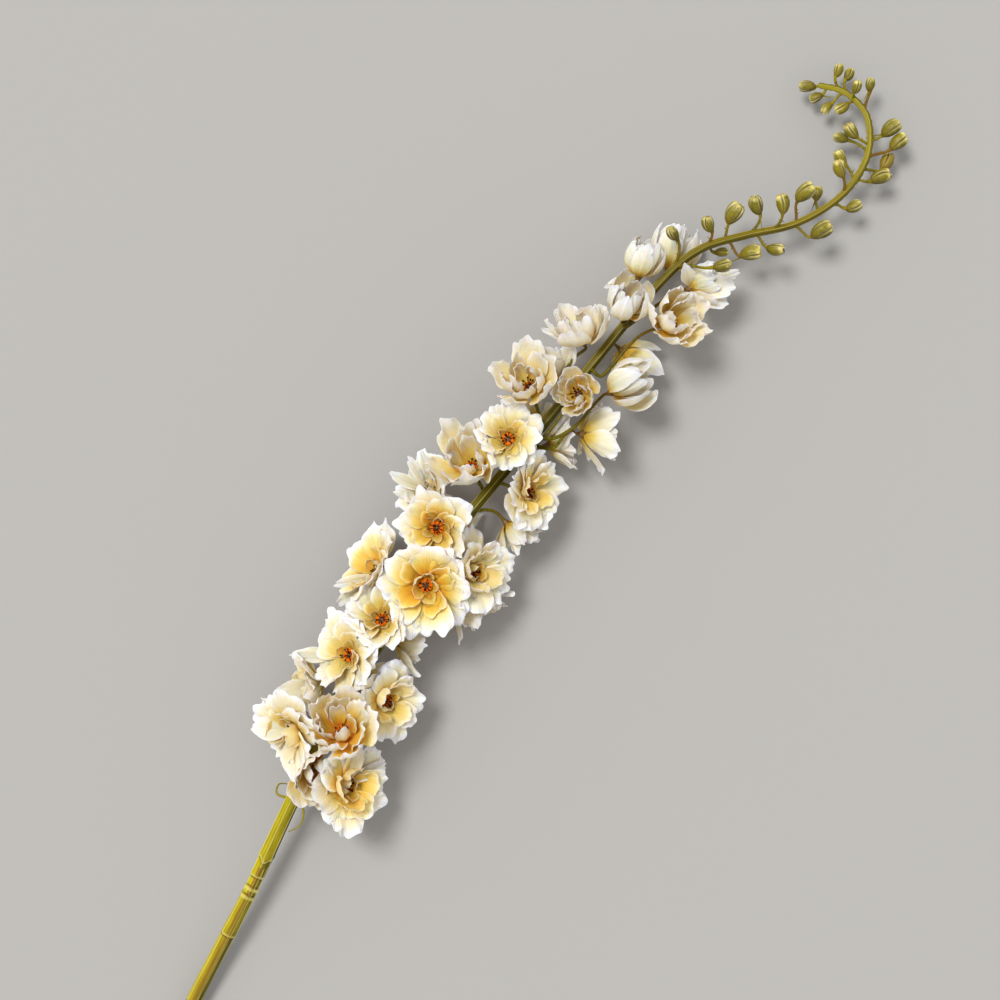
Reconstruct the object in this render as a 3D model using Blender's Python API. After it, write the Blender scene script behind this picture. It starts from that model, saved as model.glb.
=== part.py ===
"""A cut delphinium spike lying on a table: one stem with its stalks and buds, open blooms and their hearts.

Metres, +Z up. The spike lies along +X, from the cut end to the bud-bearing tip, on the plane z = 0.
Angles are in degrees: a heading turns from +X towards +Y, and a lift rises from the table.
"""

import math
import random

import bmesh
import bpy
import numpy as np
from mathutils import Vector

# The stem, from the cut end to the tip
STEM_ROUTE = (
    (-0.4027, -0.0529, 0.005),
    (-0.3444, -0.0393, 0.0125),
    (-0.2644, -0.0243, 0.025),
    (-0.1839, -0.0065, 0.036),
    (-0.1171, 0.0055, 0.041),
    (-0.0530, 0.0105, 0.042),
    (0.0110, 0.0145, 0.042),
    (0.0950, 0.0125, 0.041),
    (0.1511, 0.0115, 0.04),
    (0.2155, 0.0095, 0.038),
    (0.2488, 0.0025, 0.036),
    (0.2754, -0.0156, 0.033),
    (0.3021, -0.0368, 0.03),
    (0.3349, -0.0490, 0.027),
    (0.3659, -0.0471, 0.024),
    (0.3878, -0.0310, 0.021),
    (0.3923, -0.0097, 0.019),
    (0.3854, 0.0075, 0.018),
)
STEM_RADIUS = 0.0049
TIP_RADIUS = 0.0011
TAPER_START = 0.26  # share of the stem's length that keeps its full radius
TAPER_POWER = 0.75
STEM_SIDES = 8
STEM_RINGS = 27
STEM_SPACING = ((0.0, 0.3, 0.55, 1.0), (0.0, 0.62, 0.82, 1.0))  # shares of its rings, and how far they reach
NODE_SWELL = 0.0007
NODE_WIDTH = 0.004
STEM_NODES = (0.030, 0.077, 0.115, 0.144, 0.168)  # swollen joints, by their distance from the cut end

# Curled shoots on the bare stem, each from a point on its axis
SHOOTS = (
    ((-0.195, -0.0078, 0.034), (-0.198, -0.018, 0.033), (-0.208, -0.0235, 0.031), (-0.217, -0.020, 0.029)),
    ((-0.198, -0.0083, 0.034), (-0.201, 0.001, 0.034), (-0.196, 0.004, 0.030), (-0.193, 0.000, 0.026)),
)
SHOOT_RADIUS = 0.0008

# Stalks and buds
STALK_RADIUS = 0.0009
STALK_SIDES = 3
STALK_RINGS = 4
STALK_LEAD = 0.7  # how far back along the stem a stalk starts, as a share of its reach
STALK_BEND = (0.22, 0.38)  # how long its first and last bends are, as shares of its reach
STALK_END = 0.003  # the straight run behind a bloom
SEAT_GAP = 0.0003
BUD_SIDES = 5
BUD_PROFILE = ((0.0, 0.36), (0.25, 0.94), (0.72, 0.92), (1.0, 0.3))
BUD_WIDTH = 0.39  # half the width of a bud, as a share of its length
SPUR_RADIUS = 0.0006
SPUR_LENGTH = 0.8  # as a share of the bud's length
SPUR_ROOT = 0.2  # how far up the bud its root is sunk, as a share of the bud's length
SPUR_SPREAD = 0.7
SPUR_EVERY = 3  # one bud of so many has a spur

# Petals. A pair of values is for a closed bloom and for an open one. Angles are from the bloom's axis;
# tilt, width and the outer length are shares of the bloom's width, and wrap is in radians round the axis.
OUTER = {"petals": (5, 5), "rows": 3, "foot": 0.0027, "height": 0.0, "root": (84, 70), "tip": (-75, 100),
         "tilt": 0.055, "length": 1.0, "width": 0.5, "wrap": 0.85}
INNER = {"petals": (3, 5), "rows": 3, "foot": 0.0020, "height": 0.0017, "root": (50, 28), "tip": (-30, 52),
         "tilt": 0.03, "length": (0.76, 0.62), "width": 0.36, "wrap": 0.7}
BLADE = 0.0006
COLUMNS = 3
MOST_PETALS = 5
PETAL_WIDTH = ((0.0, 0.12, 0.35, 0.68, 1.0), (0.0, 0.42, 0.86, 1.0, 0.5))  # along its length, and as shares
ROOT_WIDTH = 0.4  # half the turn that a petal's root covers, in radians
UNEVEN_SIZE = (0.94, 1.05)
UNEVEN_TURN = 0.08
CLOSED = 0.25
HALF_OPEN = 0.55  # blooms open further have more and longer petals, and show a heart
TIP_ROUND = 0.13
WAVE = 0.0012
WAVE_COUNTS = (7, 3)  # a fine and a broad wave round the whorl
WAVE_SHARES = (0.6, 0.4)
FOOT_SIDES = 5
FOOT_RADIUS = 0.0017
FOOT_DEPTH = 0.0032
HEART_SIDES = 5
HEART_RADIUS = 0.0015
HEART_HEIGHT = 0.0012
HEART_TAPER = 0.8
STAMEN_LENGTH = 0.006
STAMEN_SPREAD = 0.45
STAMEN_TAPER = 0.4

# How blooms press on each other, on the stem and on the table
CLEARANCE = 0.0008
STEM_CLEARANCE = 0.002
KNEE = 0.008  # depth of the layer that a press squeezes
NEIGHBOUR_REACH = 1.25  # blooms press on each other up to this share of the sum of their radii
BULK_AHEAD = (0.42, 0.30)  # from a bloom's seat to its middle, as a share of its width: closed, open

# Blooms: x, y, z of the seat, heading, lift, width across, opening from 0 (a ball) to 1 (flat), turn
BLOOMS = (
    (-0.1679, -0.0296, 0.046, 308, 50, 0.066, 0.85, 24),
    (-0.1587, 0.0175, 0.044, 152, 40, 0.064, 0.9, 4),
    (-0.1397, -0.0078, 0.063, 43, 64, 0.048, 0.65, 36),
    (-0.1256, 0.0225, 0.036, 143, 10, 0.054, 0.7, 0),
    (-0.1089, -0.0156, 0.046, 288, 55, 0.058, 0.85, 0),
    (-0.0979, 0.0184, 0.054, 118, 50, 0.06, 0.9, 0),
    (-0.0679, 0.0164, 0.057, 48, 66, 0.052, 0.8, 12),
    (-0.0750, -0.0005, 0.03, 296, -8, 0.046, 0.55, 0),
    (-0.0321, 0.0085, 0.06, 198, 80, 0.072, 1, 0),
    (-0.0461, 0.0365, 0.042, 93, -6, 0.066, 0.8, 0),
    (-0.0088, -0.0094, 0.048, -52, 50, 0.06, 0.85, 0),
    (-0.0218, -0.0137, 0.022, 266, -6, 0.056, 0.55, 32),
    (0.0014, 0.0253, 0.056, 148, 74, 0.056, 0.75, 0),
    (0.0159, 0.0426, 0.038, 112, 16, 0.052, 0.7, 0),
    (0.0450, 0.0314, 0.05, 58, 60, 0.048, 0.65, 0),
    (0.0305, -0.0088, 0.034, 258, -8, 0.043, 0.5, 20),
    (0.0546, -0.0047, 0.048, 298, 42, 0.056, 0.8, 0),
    (0.0737, 0.0243, 0.056, 48, 74, 0.051, 0.9, 0),
    (0.0874, 0.0015, 0.036, 320, -5, 0.042, 0.5, 8),
    (0.1070, -0.0116, 0.042, 303, -28, 0.05, 0.55, 40),
    (0.1086, 0.0343, 0.051, 60, 58, 0.042, 0.6, 36),
    (0.1251, 0.0064, 0.056, 128, 72, 0.031, 0.3, 4),
    (0.1284, 0.0236, 0.036, 78, 6, 0.04, 0.5, 20),
    (0.1399, -0.0095, 0.044, -32, 25, 0.031, 0.16, 0),
    (0.1547, 0.0254, 0.046, 52, 30, 0.04, 0.42, 0),
    (0.1665, 0.0016, 0.026, 268, -32, 0.034, 0.3, 0),
    (0.1846, 0.0155, 0.049, 22, 50, 0.029, 0.15, 12),
    (0.1975, -0.0107, 0.046, 328, 60, 0.042, 0.6, 0),
    (0.2257, -0.0086, 0.033, -42, 0, 0.031, 0.35, 0),
    (0.2105, 0.0230, 0.041, 20, 12, 0.028, 0.18, 20),
    (0.2290, 0.0111, 0.018, 20, -4, 0.033, 0.18, 0),
    (-0.1089, 0.0004, 0.023, 250, -62, 0.046, 0.55, 0),
    (0.0066, 0.0146, 0.026, 95, -58, 0.046, 0.55, 4),
    (0.0936, 0.0186, 0.026, 80, -52, 0.04, 0.5, 0),
    (-0.1711, -0.0072, 0.046, 255, 45, 0.04, 0.35, 48),
)

# Buds: x, y, z of the middle, length, heading, lift
BUDS = (
    (0.2449, 0.0224, 0.05, 0.011, 80, 40),
    (0.2650, 0.0075, 0.042, 0.011, 60, 20),
    (0.2803, -0.0015, 0.04, 0.015, 5, 15),
    (0.2943, -0.0095, 0.04, 0.013, 60, 25),
    (0.3044, -0.0215, 0.04, 0.013, 45, 10),
    (0.3201, -0.0296, 0.036, 0.015, -10, 15),
    (0.3282, -0.0361, 0.02, 0.01, 20, -20),
    (0.3074, -0.0528, 0.034, 0.015, -20, 10),
    (0.2800, -0.0357, 0.036, 0.012, -60, 20),
    (0.2669, -0.0256, 0.036, 0.014, -40, 10),
    (0.2463, -0.0150, 0.062, 0.012, -40, 25),
    (0.2576, -0.0097, 0.024, 0.009, -50, -15),
    (0.3351, -0.0592, 0.026, 0.011, -30, 5),
    (0.3472, -0.0377, 0.036, 0.012, 60, 20),
    (0.3553, -0.0339, 0.026, 0.011, 70, 0),
    (0.3604, -0.0622, 0.026, 0.014, -30, 5),
    (0.3727, -0.0586, 0.016, 0.013, 10, -20),
    (0.3861, -0.0572, 0.024, 0.013, -10, 5),
    (0.3897, -0.0481, 0.026, 0.014, -15, 10),
    (0.3731, -0.0288, 0.028, 0.012, 80, 20),
    (0.3667, -0.0259, 0.02, 0.01, 110, 0),
    (0.4053, -0.0198, 0.024, 0.009, 30, 10),
    (0.3997, 0.0035, 0.022, 0.009, 20, 10),
    (0.4032, -0.0036, 0.016, 0.009, 10, -10),
    (0.3978, -0.0127, 0.026, 0.009, 20, 30),
    (0.3830, -0.0138, 0.02, 0.01, 160, 0),
    (0.3773, -0.0067, 0.018, 0.009, 175, 0),
    (0.3788, 0.0035, 0.016, 0.009, 150, -10),
    (0.3804, 0.0126, 0.018, 0.011, 125, 0),
)

CREAM = (0.90, 0.80, 0.58)
STEM_GREEN = (0.36, 0.38, 0.06)
HEART_ORANGE = (0.55, 0.20, 0.03)


def direction(heading, lift):
    """The unit vector of a heading and a lift."""
    h = math.radians(heading)
    e = math.radians(lift)
    return np.array((math.cos(h) * math.cos(e), math.sin(h) * math.cos(e), math.sin(e)))


def unit(v):
    return v / np.linalg.norm(v)


def square_axes(axis):
    """Two unit vectors square to axis and to each other."""
    guide = np.array((0.0, 0.0, 1.0)) if abs(axis[2]) < 0.9 else np.array((1.0, 0.0, 0.0))
    side = unit(np.cross(guide, axis))
    return side, np.cross(axis, side)


def smooth_curve(points, steps):
    """A curve through the points, with steps points to each span."""
    p = np.array(points)
    p = np.vstack((2 * p[0] - p[1], p, 2 * p[-1] - p[-2]))
    out = []
    for k in range(1, len(p) - 2):
        for t in np.arange(steps) / steps:
            out.append(0.5 * (2 * p[k] + (p[k + 1] - p[k - 1]) * t
                              + (2 * p[k - 1] - 5 * p[k] + 4 * p[k + 1] - p[k + 2]) * t**2
                              + (3 * p[k] - p[k - 1] - 3 * p[k + 1] + p[k + 2]) * t**3))
    out.append(p[-2])
    return np.array(out)


def spaced_points(curve, shares):
    """Points at shares of a curve's length, and their distances from its start."""
    reach = np.concatenate(([0.0], np.cumsum(np.linalg.norm(np.diff(curve, axis=0), axis=1))))
    at = np.asarray(shares) * reach[-1]
    return np.stack([np.interp(at, reach, curve[:, k]) for k in range(3)], axis=1), at


def bezier(a, b, c, d, count):
    t = np.linspace(0.0, 1.0, count)[:, None]
    return a * (1 - t) ** 3 + 3 * b * t * (1 - t) ** 2 + 3 * c * t**2 * (1 - t) + d * t**3


def tube(path, radii, sides):
    """Vertices and faces of a closed tube along a path, with a radius at each of its points."""
    path = np.array(path)
    along = np.gradient(path, axis=0)
    side = square_axes(unit(along[0]))[0]
    vertices = []
    for point, tangent, radius in zip(path, along, radii):
        tangent = unit(tangent)
        side = unit(side - tangent * (side @ tangent))
        up = np.cross(tangent, side)
        for k in range(sides):
            a = 2 * math.pi * k / sides
            vertices.append(point + radius * (math.cos(a) * side + math.sin(a) * up))
    faces = [tuple(reversed(range(sides)))]
    for r in range(len(path) - 1):
        for k in range(sides):
            a, b = r * sides + k, r * sides + (k + 1) % sides
            faces.append((a, b, b + sides, a + sides))
    faces.append(tuple((len(path) - 1) * sides + k for k in range(sides)))
    return vertices, faces


def new_object(name, vertices, faces, collection):
    mesh = bpy.data.meshes.new(name)
    mesh.from_pydata([tuple(v) for v in vertices], [], faces)
    made = bpy.data.objects.new(name, mesh)
    collection.objects.link(made)
    return made


def join(base, pieces):
    """Unites a collection of pieces with base, applies it and removes them."""
    modifier = base.modifiers.new("join", "BOOLEAN")
    modifier.operation = "UNION"
    modifier.operand_type = "COLLECTION"
    modifier.collection = pieces
    modifier.solver = "MANIFOLD"
    bpy.context.view_layer.update()
    united = bpy.data.meshes.new_from_object(base.evaluated_get(bpy.context.evaluated_depsgraph_get()))
    base.modifiers.clear()
    base.data = united
    keep_outer_body(united)
    for piece in list(pieces.objects):
        bpy.data.objects.remove(piece)
    bpy.data.collections.remove(pieces)


def keep_outer_body(mesh_data):
    """Drops every loose part but the largest: scraps, and the walls of hollows that joining has sealed."""
    mesh = bmesh.new()
    mesh.from_mesh(mesh_data)
    left = set(mesh.verts)
    parts = []
    while left:
        part = {left.pop()}
        edge = list(part)
        while edge:
            for link in edge.pop().link_edges:
                for vertex in link.verts:
                    if vertex not in part:
                        part.add(vertex)
                        edge.append(vertex)
        left -= part
        parts.append(part)
    largest = max(parts, key=len)
    bmesh.ops.delete(mesh, geom=[v for v in mesh.verts if v not in largest], context="VERTS")
    mesh.to_mesh(mesh_data)
    mesh.free()


def new_pieces(name):
    made = bpy.data.collections.new(name)
    bpy.context.scene.collection.children.link(made)
    return made


def finish(made, material):
    made.data.materials.clear()
    made.data.materials.append(material)
    made.data.shade_smooth()
    made.data.set_sharp_from_angle(angle=math.radians(40))


def new_material(name, colour, roughness):
    material = bpy.data.materials.new(name)
    material.use_nodes = True
    shader = material.node_tree.nodes["Principled BSDF"]
    shader.inputs["Base Color"].default_value = (*colour, 1.0)
    shader.inputs["Roughness"].default_value = roughness
    shader.inputs["Metallic"].default_value = 0.0
    return material


def stem_radius(share):
    """The stem's radius at a share of its length."""
    left = np.clip((1 - share) / (1 - TAPER_START), 0.0, 1.0)
    return TIP_RADIUS + (STEM_RADIUS - TIP_RADIUS) * left**TAPER_POWER


def nearest_on_stem(point, curve):
    return int(np.argmin(np.linalg.norm(curve - point, axis=1)))


def stalk_start(point, curve, lead=STALK_LEAD):
    """Where a stalk leaves the stem for a point beside it: the place on the curve and the way along it."""
    near = nearest_on_stem(point, curve)
    back = np.linalg.norm(curve[near] - point) * lead
    reach = np.cumsum(np.linalg.norm(np.diff(curve[: near + 1][::-1], axis=0), axis=1))
    start = max(near - int(np.searchsorted(reach, back)), 1)
    return curve[start], unit(curve[start + 1] - curve[start - 1])


def stalk_path(end, facing, curve, count):
    """A stalk that leaves the stem slanting forward and meets its end square on."""
    root, along = stalk_start(end, curve)
    reach = np.linalg.norm(end - root)
    away = unit(end - root)
    first, last = STALK_BEND
    return bezier(root, root + (along + away) * first * reach, end - facing * last * reach, end, count)


# Petals and blooms

def whorls(across, opening):
    """The two rings of petals of a bloom, from the outside in: a pair of values is mixed by the opening."""
    rings = []
    for form in (OUTER, INNER):
        ring = {key: value if np.isscalar(value) else value[0] + (value[1] - value[0]) * opening
                for key, value in form.items()}
        ring["petals"] = MOST_PETALS if opening > HALF_OPEN else form["petals"][0]
        ring["tilt"] *= across
        ring["width"] *= across
        rings.append(ring)
    outer, inner = rings
    outer["rows"] += opening > HALF_OPEN or opening < CLOSED
    outer["length"] *= (across / 2 - outer["foot"]) / widest(outer)
    inner["length"] *= outer["length"]
    return outer, inner


def arc(whorl, u):
    """Radius, height and slope of a whorl at a share u of its petals' length."""
    start, end = math.radians(whorl["root"]), math.radians(whorl["tip"])
    turn = end - start if abs(end - start) > 1e-3 else 1e-3
    slope = start + turn * u
    return (np.cos(start) - np.cos(slope)) / turn, (np.sin(slope) - np.sin(start)) / turn, slope


def widest(whorl):
    return float(np.max(arc(whorl, np.linspace(0.0, 1.0, 40))[0]))


def petal_width(u):
    """A petal's width along its length: a narrow claw, a broad blade, a rounded tip."""
    return np.interp(u, *PETAL_WIDTH)


def petal_grid(whorl, middle, size, wave):
    """Middle surface and normals of a petal, on the surface that its whorl shares.

    Each petal rises over the next one at one side and dips under the last one at the other."""
    u, v = np.meshgrid(np.linspace(0, 1, whorl["rows"]), np.linspace(-1, 1, COLUMNS), indexing="ij")
    half = ROOT_WIDTH * (1 - u) ** 3 + petal_width(u) * 0.5 * whorl["width"] * size / (
        whorl["foot"] + whorl["length"] * np.maximum(arc(whorl, u)[0], 0.02))
    turn = middle + np.minimum(half, whorl["wrap"]) * v
    along = u * (1 - TIP_ROUND * v * v * u) * size
    radius, height, slope = arc(whorl, along)
    lift = np.minimum(3 * u, 1.0) * whorl["tilt"] * v + u * wave(turn, u)
    out = np.stack((np.cos(turn), np.sin(turn), np.zeros_like(turn)), axis=-1)
    top = np.array((0.0, 0.0, 1.0))
    normals = -out * np.cos(slope)[..., None] + top * np.sin(slope)[..., None]
    points = out * (whorl["foot"] + whorl["length"] * radius)[..., None]
    points = points + top * (whorl["height"] + whorl["length"] * height)[..., None] + normals * lift[..., None]
    return points, normals


def grid_normals(points, root_normals):
    """Normals of a grid of points, with those of its first row given."""
    across = np.gradient(points, axis=1)
    along = np.gradient(points, axis=0)
    normals = np.cross(along, across)
    normals = normals / np.linalg.norm(normals, axis=-1, keepdims=True)
    normals[0] = root_normals
    return normals


def squeeze(points, planes):
    """Presses points back from each plane (a point on it and its outward normal), softly and never past it."""
    for _ in range(2):
        for at, normal in planes:
            depth = (points - at) @ normal + KNEE
            most = max(float(depth.max()), KNEE)
            points = points - np.where(depth > 0, depth * (1 - KNEE / most), 0.0)[..., None] * normal
    return points


def bloom_middle(row):
    """The middle of a bloom's bulk, in front of its seat."""
    return np.array(row[:3]) + direction(row[3], row[4]) * row[5] * np.interp(row[6], (0, 1), BULK_AHEAD)


def neighbour_planes(index, curve):
    """The planes that keep a bloom clear of its neighbours, of the stem and of the table."""
    own = BLOOMS[index]
    here, radius = bloom_middle(own), own[5] / 2
    planes = []
    for k, other in enumerate(BLOOMS):
        there, reach = bloom_middle(other), other[5] / 2
        gap = np.linalg.norm(there - here)
        if k == index or gap > NEIGHBOUR_REACH * (radius + reach):
            continue
        normal = (there - here) / gap
        share = (gap * gap + radius * radius - reach * reach) / (2 * gap)
        planes.append((here + normal * (share - CLEARANCE), normal))
    for bud in BUDS:
        gap = np.linalg.norm(np.array(bud[:3]) - here)
        if gap < radius + bud[3]:
            normal = (np.array(bud[:3]) - here) / gap
            planes.append((np.array(bud[:3]) - normal * (BUD_WIDTH * bud[3] + CLEARANCE), normal))
    near = curve[nearest_on_stem(np.array(own[:3]), curve)]
    inward = unit(near - np.array(own[:3]))
    planes.append((near - inward * (STEM_RADIUS + STEM_CLEARANCE), inward))
    planes.append((np.array((0.0, 0.0, CLEARANCE / 2)), np.array((0.0, 0.0, -1.0))))
    return planes


def ruffle(draw, depth):
    """A wave in the turn round the axis, the same for every petal of a whorl so that they stay nested."""
    starts = draw.uniform(0, 2 * math.pi), draw.uniform(0, 2 * math.pi)

    def wave(turn, u):
        fine, broad = (share * np.sin(count * turn + start)
                       for share, count, start in zip(WAVE_SHARES, WAVE_COUNTS, starts))
        return depth * (fine * u + broad)
    return wave


class Bloom:
    """The mesh of one bloom: a narrow receptacle with two whorls of petals grown from its sides."""

    def __init__(self, index, curve):
        x, y, z, heading, lift, across, opening, turn = BLOOMS[index]
        self.axis = direction(heading, lift)
        side, up = square_axes(self.axis)
        self.frame = np.array((side, up, self.axis))
        self.seat = np.array((x, y, z))
        self.planes = neighbour_planes(index, curve)
        self.vertices = []
        self.faces = []
        draw = random.Random(100 + index)
        start = math.radians(turn)
        ring = self.add_ring(FOOT_RADIUS, -FOOT_DEPTH, start)
        self.faces.append(tuple(reversed([k for _, k in ring])))
        for number, whorl in enumerate(whorls(across, opening)):
            under, over = self.add_whorl(whorl, start + number * math.pi / whorl["petals"], draw)
            self.add_band(ring, under)
            ring = over
        self.faces.append(tuple(k for _, k in ring))

    def place(self, points):
        first = len(self.vertices)
        self.vertices.extend(points.reshape(-1, 3) @ self.frame + self.seat)
        return first

    def add_ring(self, radius, height, start):
        turns = [start + 2 * math.pi * k / FOOT_SIDES for k in range(FOOT_SIDES)]
        points = np.array([(radius * math.cos(t), radius * math.sin(t), height) for t in turns])
        first = self.place(points)
        return [(t, first + k) for k, t in enumerate(turns)]

    def add_whorl(self, whorl, start, draw):
        """Adds a whorl; gives the root corners of its under side and of its upper side."""
        wave = ruffle(draw, WAVE)
        under, over = [], []
        for k in range(whorl["petals"]):
            middle = start + 2 * math.pi * k / whorl["petals"] + draw.uniform(-UNEVEN_TURN, UNEVEN_TURN)
            points, normals = petal_grid(whorl, middle, draw.uniform(*UNEVEN_SIZE), wave)
            root = normals[0] @ self.frame
            placed = points @ self.frame + self.seat
            pressed = squeeze(placed, self.planes)
            pressed[0] = placed[0]
            turns = [math.atan2(p[1], p[0]) for p in points[0]]
            low, high = self.add_blade(pressed, grid_normals(pressed, root))
            turns = [start + (t - start + math.pi / 2) % (2 * math.pi) - math.pi / 2 for t in turns]
            under += list(zip(turns, low))
            over += list(zip(turns, high))
        for k in range(0, len(over), COLUMNS):
            a, b = k + COLUMNS - 1, (k + COLUMNS) % len(over)
            self.faces.append((over[a][1], under[a][1], under[b][1], over[b][1]))
        return under, over

    def add_blade(self, points, normals):
        """A blade round a grid of points, split alike on both faces and open at its root."""
        rows, columns = points.shape[:2]
        high = len(self.vertices)
        self.vertices.extend((points + normals * BLADE / 2).reshape(-1, 3))
        low = len(self.vertices)
        self.vertices.extend((points - normals * BLADE / 2).reshape(-1, 3))
        for r in range(rows - 1):
            for c in range(columns - 1):
                a = r * columns + c
                b, d, e = a + 1, a + columns, a + columns + 1
                pair = ((a, b, e), (a, e, d)) if c >= columns // 2 else ((a, b, d), (b, e, d))
                for face in pair:
                    self.faces.append(tuple(high + k for k in reversed(face)))
                    self.faces.append(tuple(low + k for k in face))
        rim = [r * columns + columns - 1 for r in range(rows)]
        rim += [(rows - 1) * columns + c for c in range(columns - 2, -1, -1)]
        rim += [r * columns for r in range(rows - 2, -1, -1)]
        for a, b in zip(rim, rim[1:]):
            self.faces.append((high + a, high + b, low + b))
            self.faces.append((high + a, low + b, low + a))
        return range(low, low + columns), range(high, high + columns)

    def add_band(self, below, above):
        """Triangles between two rings of (turn, vertex), each in order of turn."""
        shift = below[0][0]
        a = sorted(((t - shift + 0.01) % (2 * math.pi), k) for t, k in below)
        b = sorted(((t - shift + 0.01) % (2 * math.pi), k) for t, k in above)
        i = j = 0
        while i < len(a) or j < len(b):
            low, high = a[i % len(a)][1], b[j % len(b)][1]
            if j >= len(b) or (i < len(a) and self.ahead(a, i) <= self.ahead(b, j)):
                self.faces.append((low, a[(i + 1) % len(a)][1], high))
                i += 1
            else:
                self.faces.append((low, b[(j + 1) % len(b)][1], high))
                j += 1

    @staticmethod
    def ahead(ring, k):
        """The turn half way to the next corner of a ring."""
        turn, after = ring[k][0], ring[(k + 1) % len(ring)][0]
        if k + 1 >= len(ring):
            after += 2 * math.pi
        return (turn + after) / 2


def make_bloom(index, curve, petal_material, heart_material):
    bloom = Bloom(index, curve)
    number = f"{index + 1:02d}"
    made = new_object(f"bloom_{number}", bloom.vertices, bloom.faces, bpy.context.scene.collection)
    finish(made, petal_material)
    if BLOOMS[index][6] > HALF_OPEN:
        top = whorls(*BLOOMS[index][5:7])[1]
        rise = top["height"] + BLADE / 2 * math.sin(math.radians(top["root"])) + SEAT_GAP
        make_heart(f"heart_{number}", bloom.seat + bloom.axis * rise, bloom.axis, heart_material)


def make_heart(name, seat, axis, material):
    """A low dome whose sides are drawn out into stamens."""
    path = [seat, seat + axis * HEART_HEIGHT]
    heart = new_object(name, *tube(path, (HEART_RADIUS, HEART_RADIUS * HEART_TAPER), HEART_SIDES),
                       bpy.context.scene.collection)
    mesh = bmesh.new()
    mesh.from_mesh(heart.data)
    sides = [f for f in mesh.faces if len(f.verts) == 4]
    drawn = bmesh.ops.extrude_discrete_faces(mesh, faces=sides)["faces"]
    for face in drawn:
        middle = face.calc_center_median()
        reach = (face.normal * STAMEN_SPREAD + Vector(axis)).normalized() * STAMEN_LENGTH
        for vertex in face.verts:
            vertex.co = middle + (vertex.co - middle) * STAMEN_TAPER + reach
    mesh.to_mesh(heart.data)
    mesh.free()
    finish(heart, material)


def make_stem(curve, material):
    length = float(np.linalg.norm(np.diff(curve, axis=0), axis=1).sum())
    rings = np.interp(np.linspace(0.0, 1.0, STEM_RINGS), *STEM_SPACING)
    points, distance = spaced_points(curve, np.sort(np.concatenate((rings, np.array(STEM_NODES) / length))))
    radii = stem_radius(distance / length)
    for node in STEM_NODES:
        radii = radii + NODE_SWELL * np.exp(-(((distance - node) / NODE_WIDTH) ** 2))
    stem = new_object("stem", *tube(points, radii, STEM_SIDES), bpy.context.scene.collection)
    pieces = new_pieces("stalks")
    for k, (x, y, z, heading, lift, *_) in enumerate(BLOOMS):
        axis = direction(heading, lift)
        end = np.array((x, y, z)) - axis * (FOOT_DEPTH + SEAT_GAP)
        path = np.vstack((stalk_path(end - axis * STALK_END, axis, curve, STALK_RINGS), [end]))
        radii = [STALK_RADIUS * 1.2] * STALK_RINGS + [FOOT_RADIUS]
        new_object(f"stalk_{k}", *tube(path, radii, STALK_SIDES), pieces)
    for k, bud in enumerate(BUDS):
        make_bud(k, bud, curve, pieces)
    for k, route in enumerate(SHOOTS):
        path = spaced_points(smooth_curve(route, 6), np.linspace(0.0, 1.0, 6))[0]
        new_object(f"shoot_{k}", *tube(path, np.linspace(1.2, 0.6, 6) * SHOOT_RADIUS, STALK_SIDES), pieces)
    join(stem, pieces)
    finish(stem, material)


def make_bud(index, bud, curve, pieces):
    """A stalk that swells into a bud at its end, with a thin spur behind it."""
    x, y, z, length, heading, lift = bud
    axis = direction(heading, lift)
    width = BUD_WIDTH * length
    foot = np.array((x, y, z)) - axis * length / 2
    path = stalk_path(foot, axis, curve, 4)[:-1]
    radii = [STALK_RADIUS] * len(path)
    path = np.vstack((path, [foot + axis * length * h for h, _ in BUD_PROFILE]))
    radii += [width * r for _, r in BUD_PROFILE]
    new_object(f"bud_{index}", *tube(path, radii, BUD_SIDES), pieces)
    if index % SPUR_EVERY:
        return
    draw = random.Random(500 + index)
    side, up = square_axes(axis)
    turn = draw.uniform(0, 2 * math.pi)
    out = side * math.cos(turn) + up * math.sin(turn)
    tip = foot + unit(out * SPUR_SPREAD - axis) * length * SPUR_LENGTH
    spur = tube([foot + axis * length * SPUR_ROOT, tip], (SPUR_RADIUS, SPUR_RADIUS / 2), STALK_SIDES)
    new_object(f"spur_{index}", *spur, pieces)


def main():
    for old in list(bpy.data.objects):
        bpy.data.objects.remove(old)
    curve = smooth_curve(STEM_ROUTE, 24)
    petal_material = new_material("petal", CREAM, 0.65)
    heart_material = new_material("heart", HEART_ORANGE, 0.7)
    stem_material = new_material("stem", STEM_GREEN, 0.45)
    make_stem(curve, stem_material)
    for index in range(len(BLOOMS)):
        make_bloom(index, curve, petal_material, heart_material)


main()
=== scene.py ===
import math
import random

import bpy
import numpy as np
from mathutils import Matrix, Vector


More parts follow.
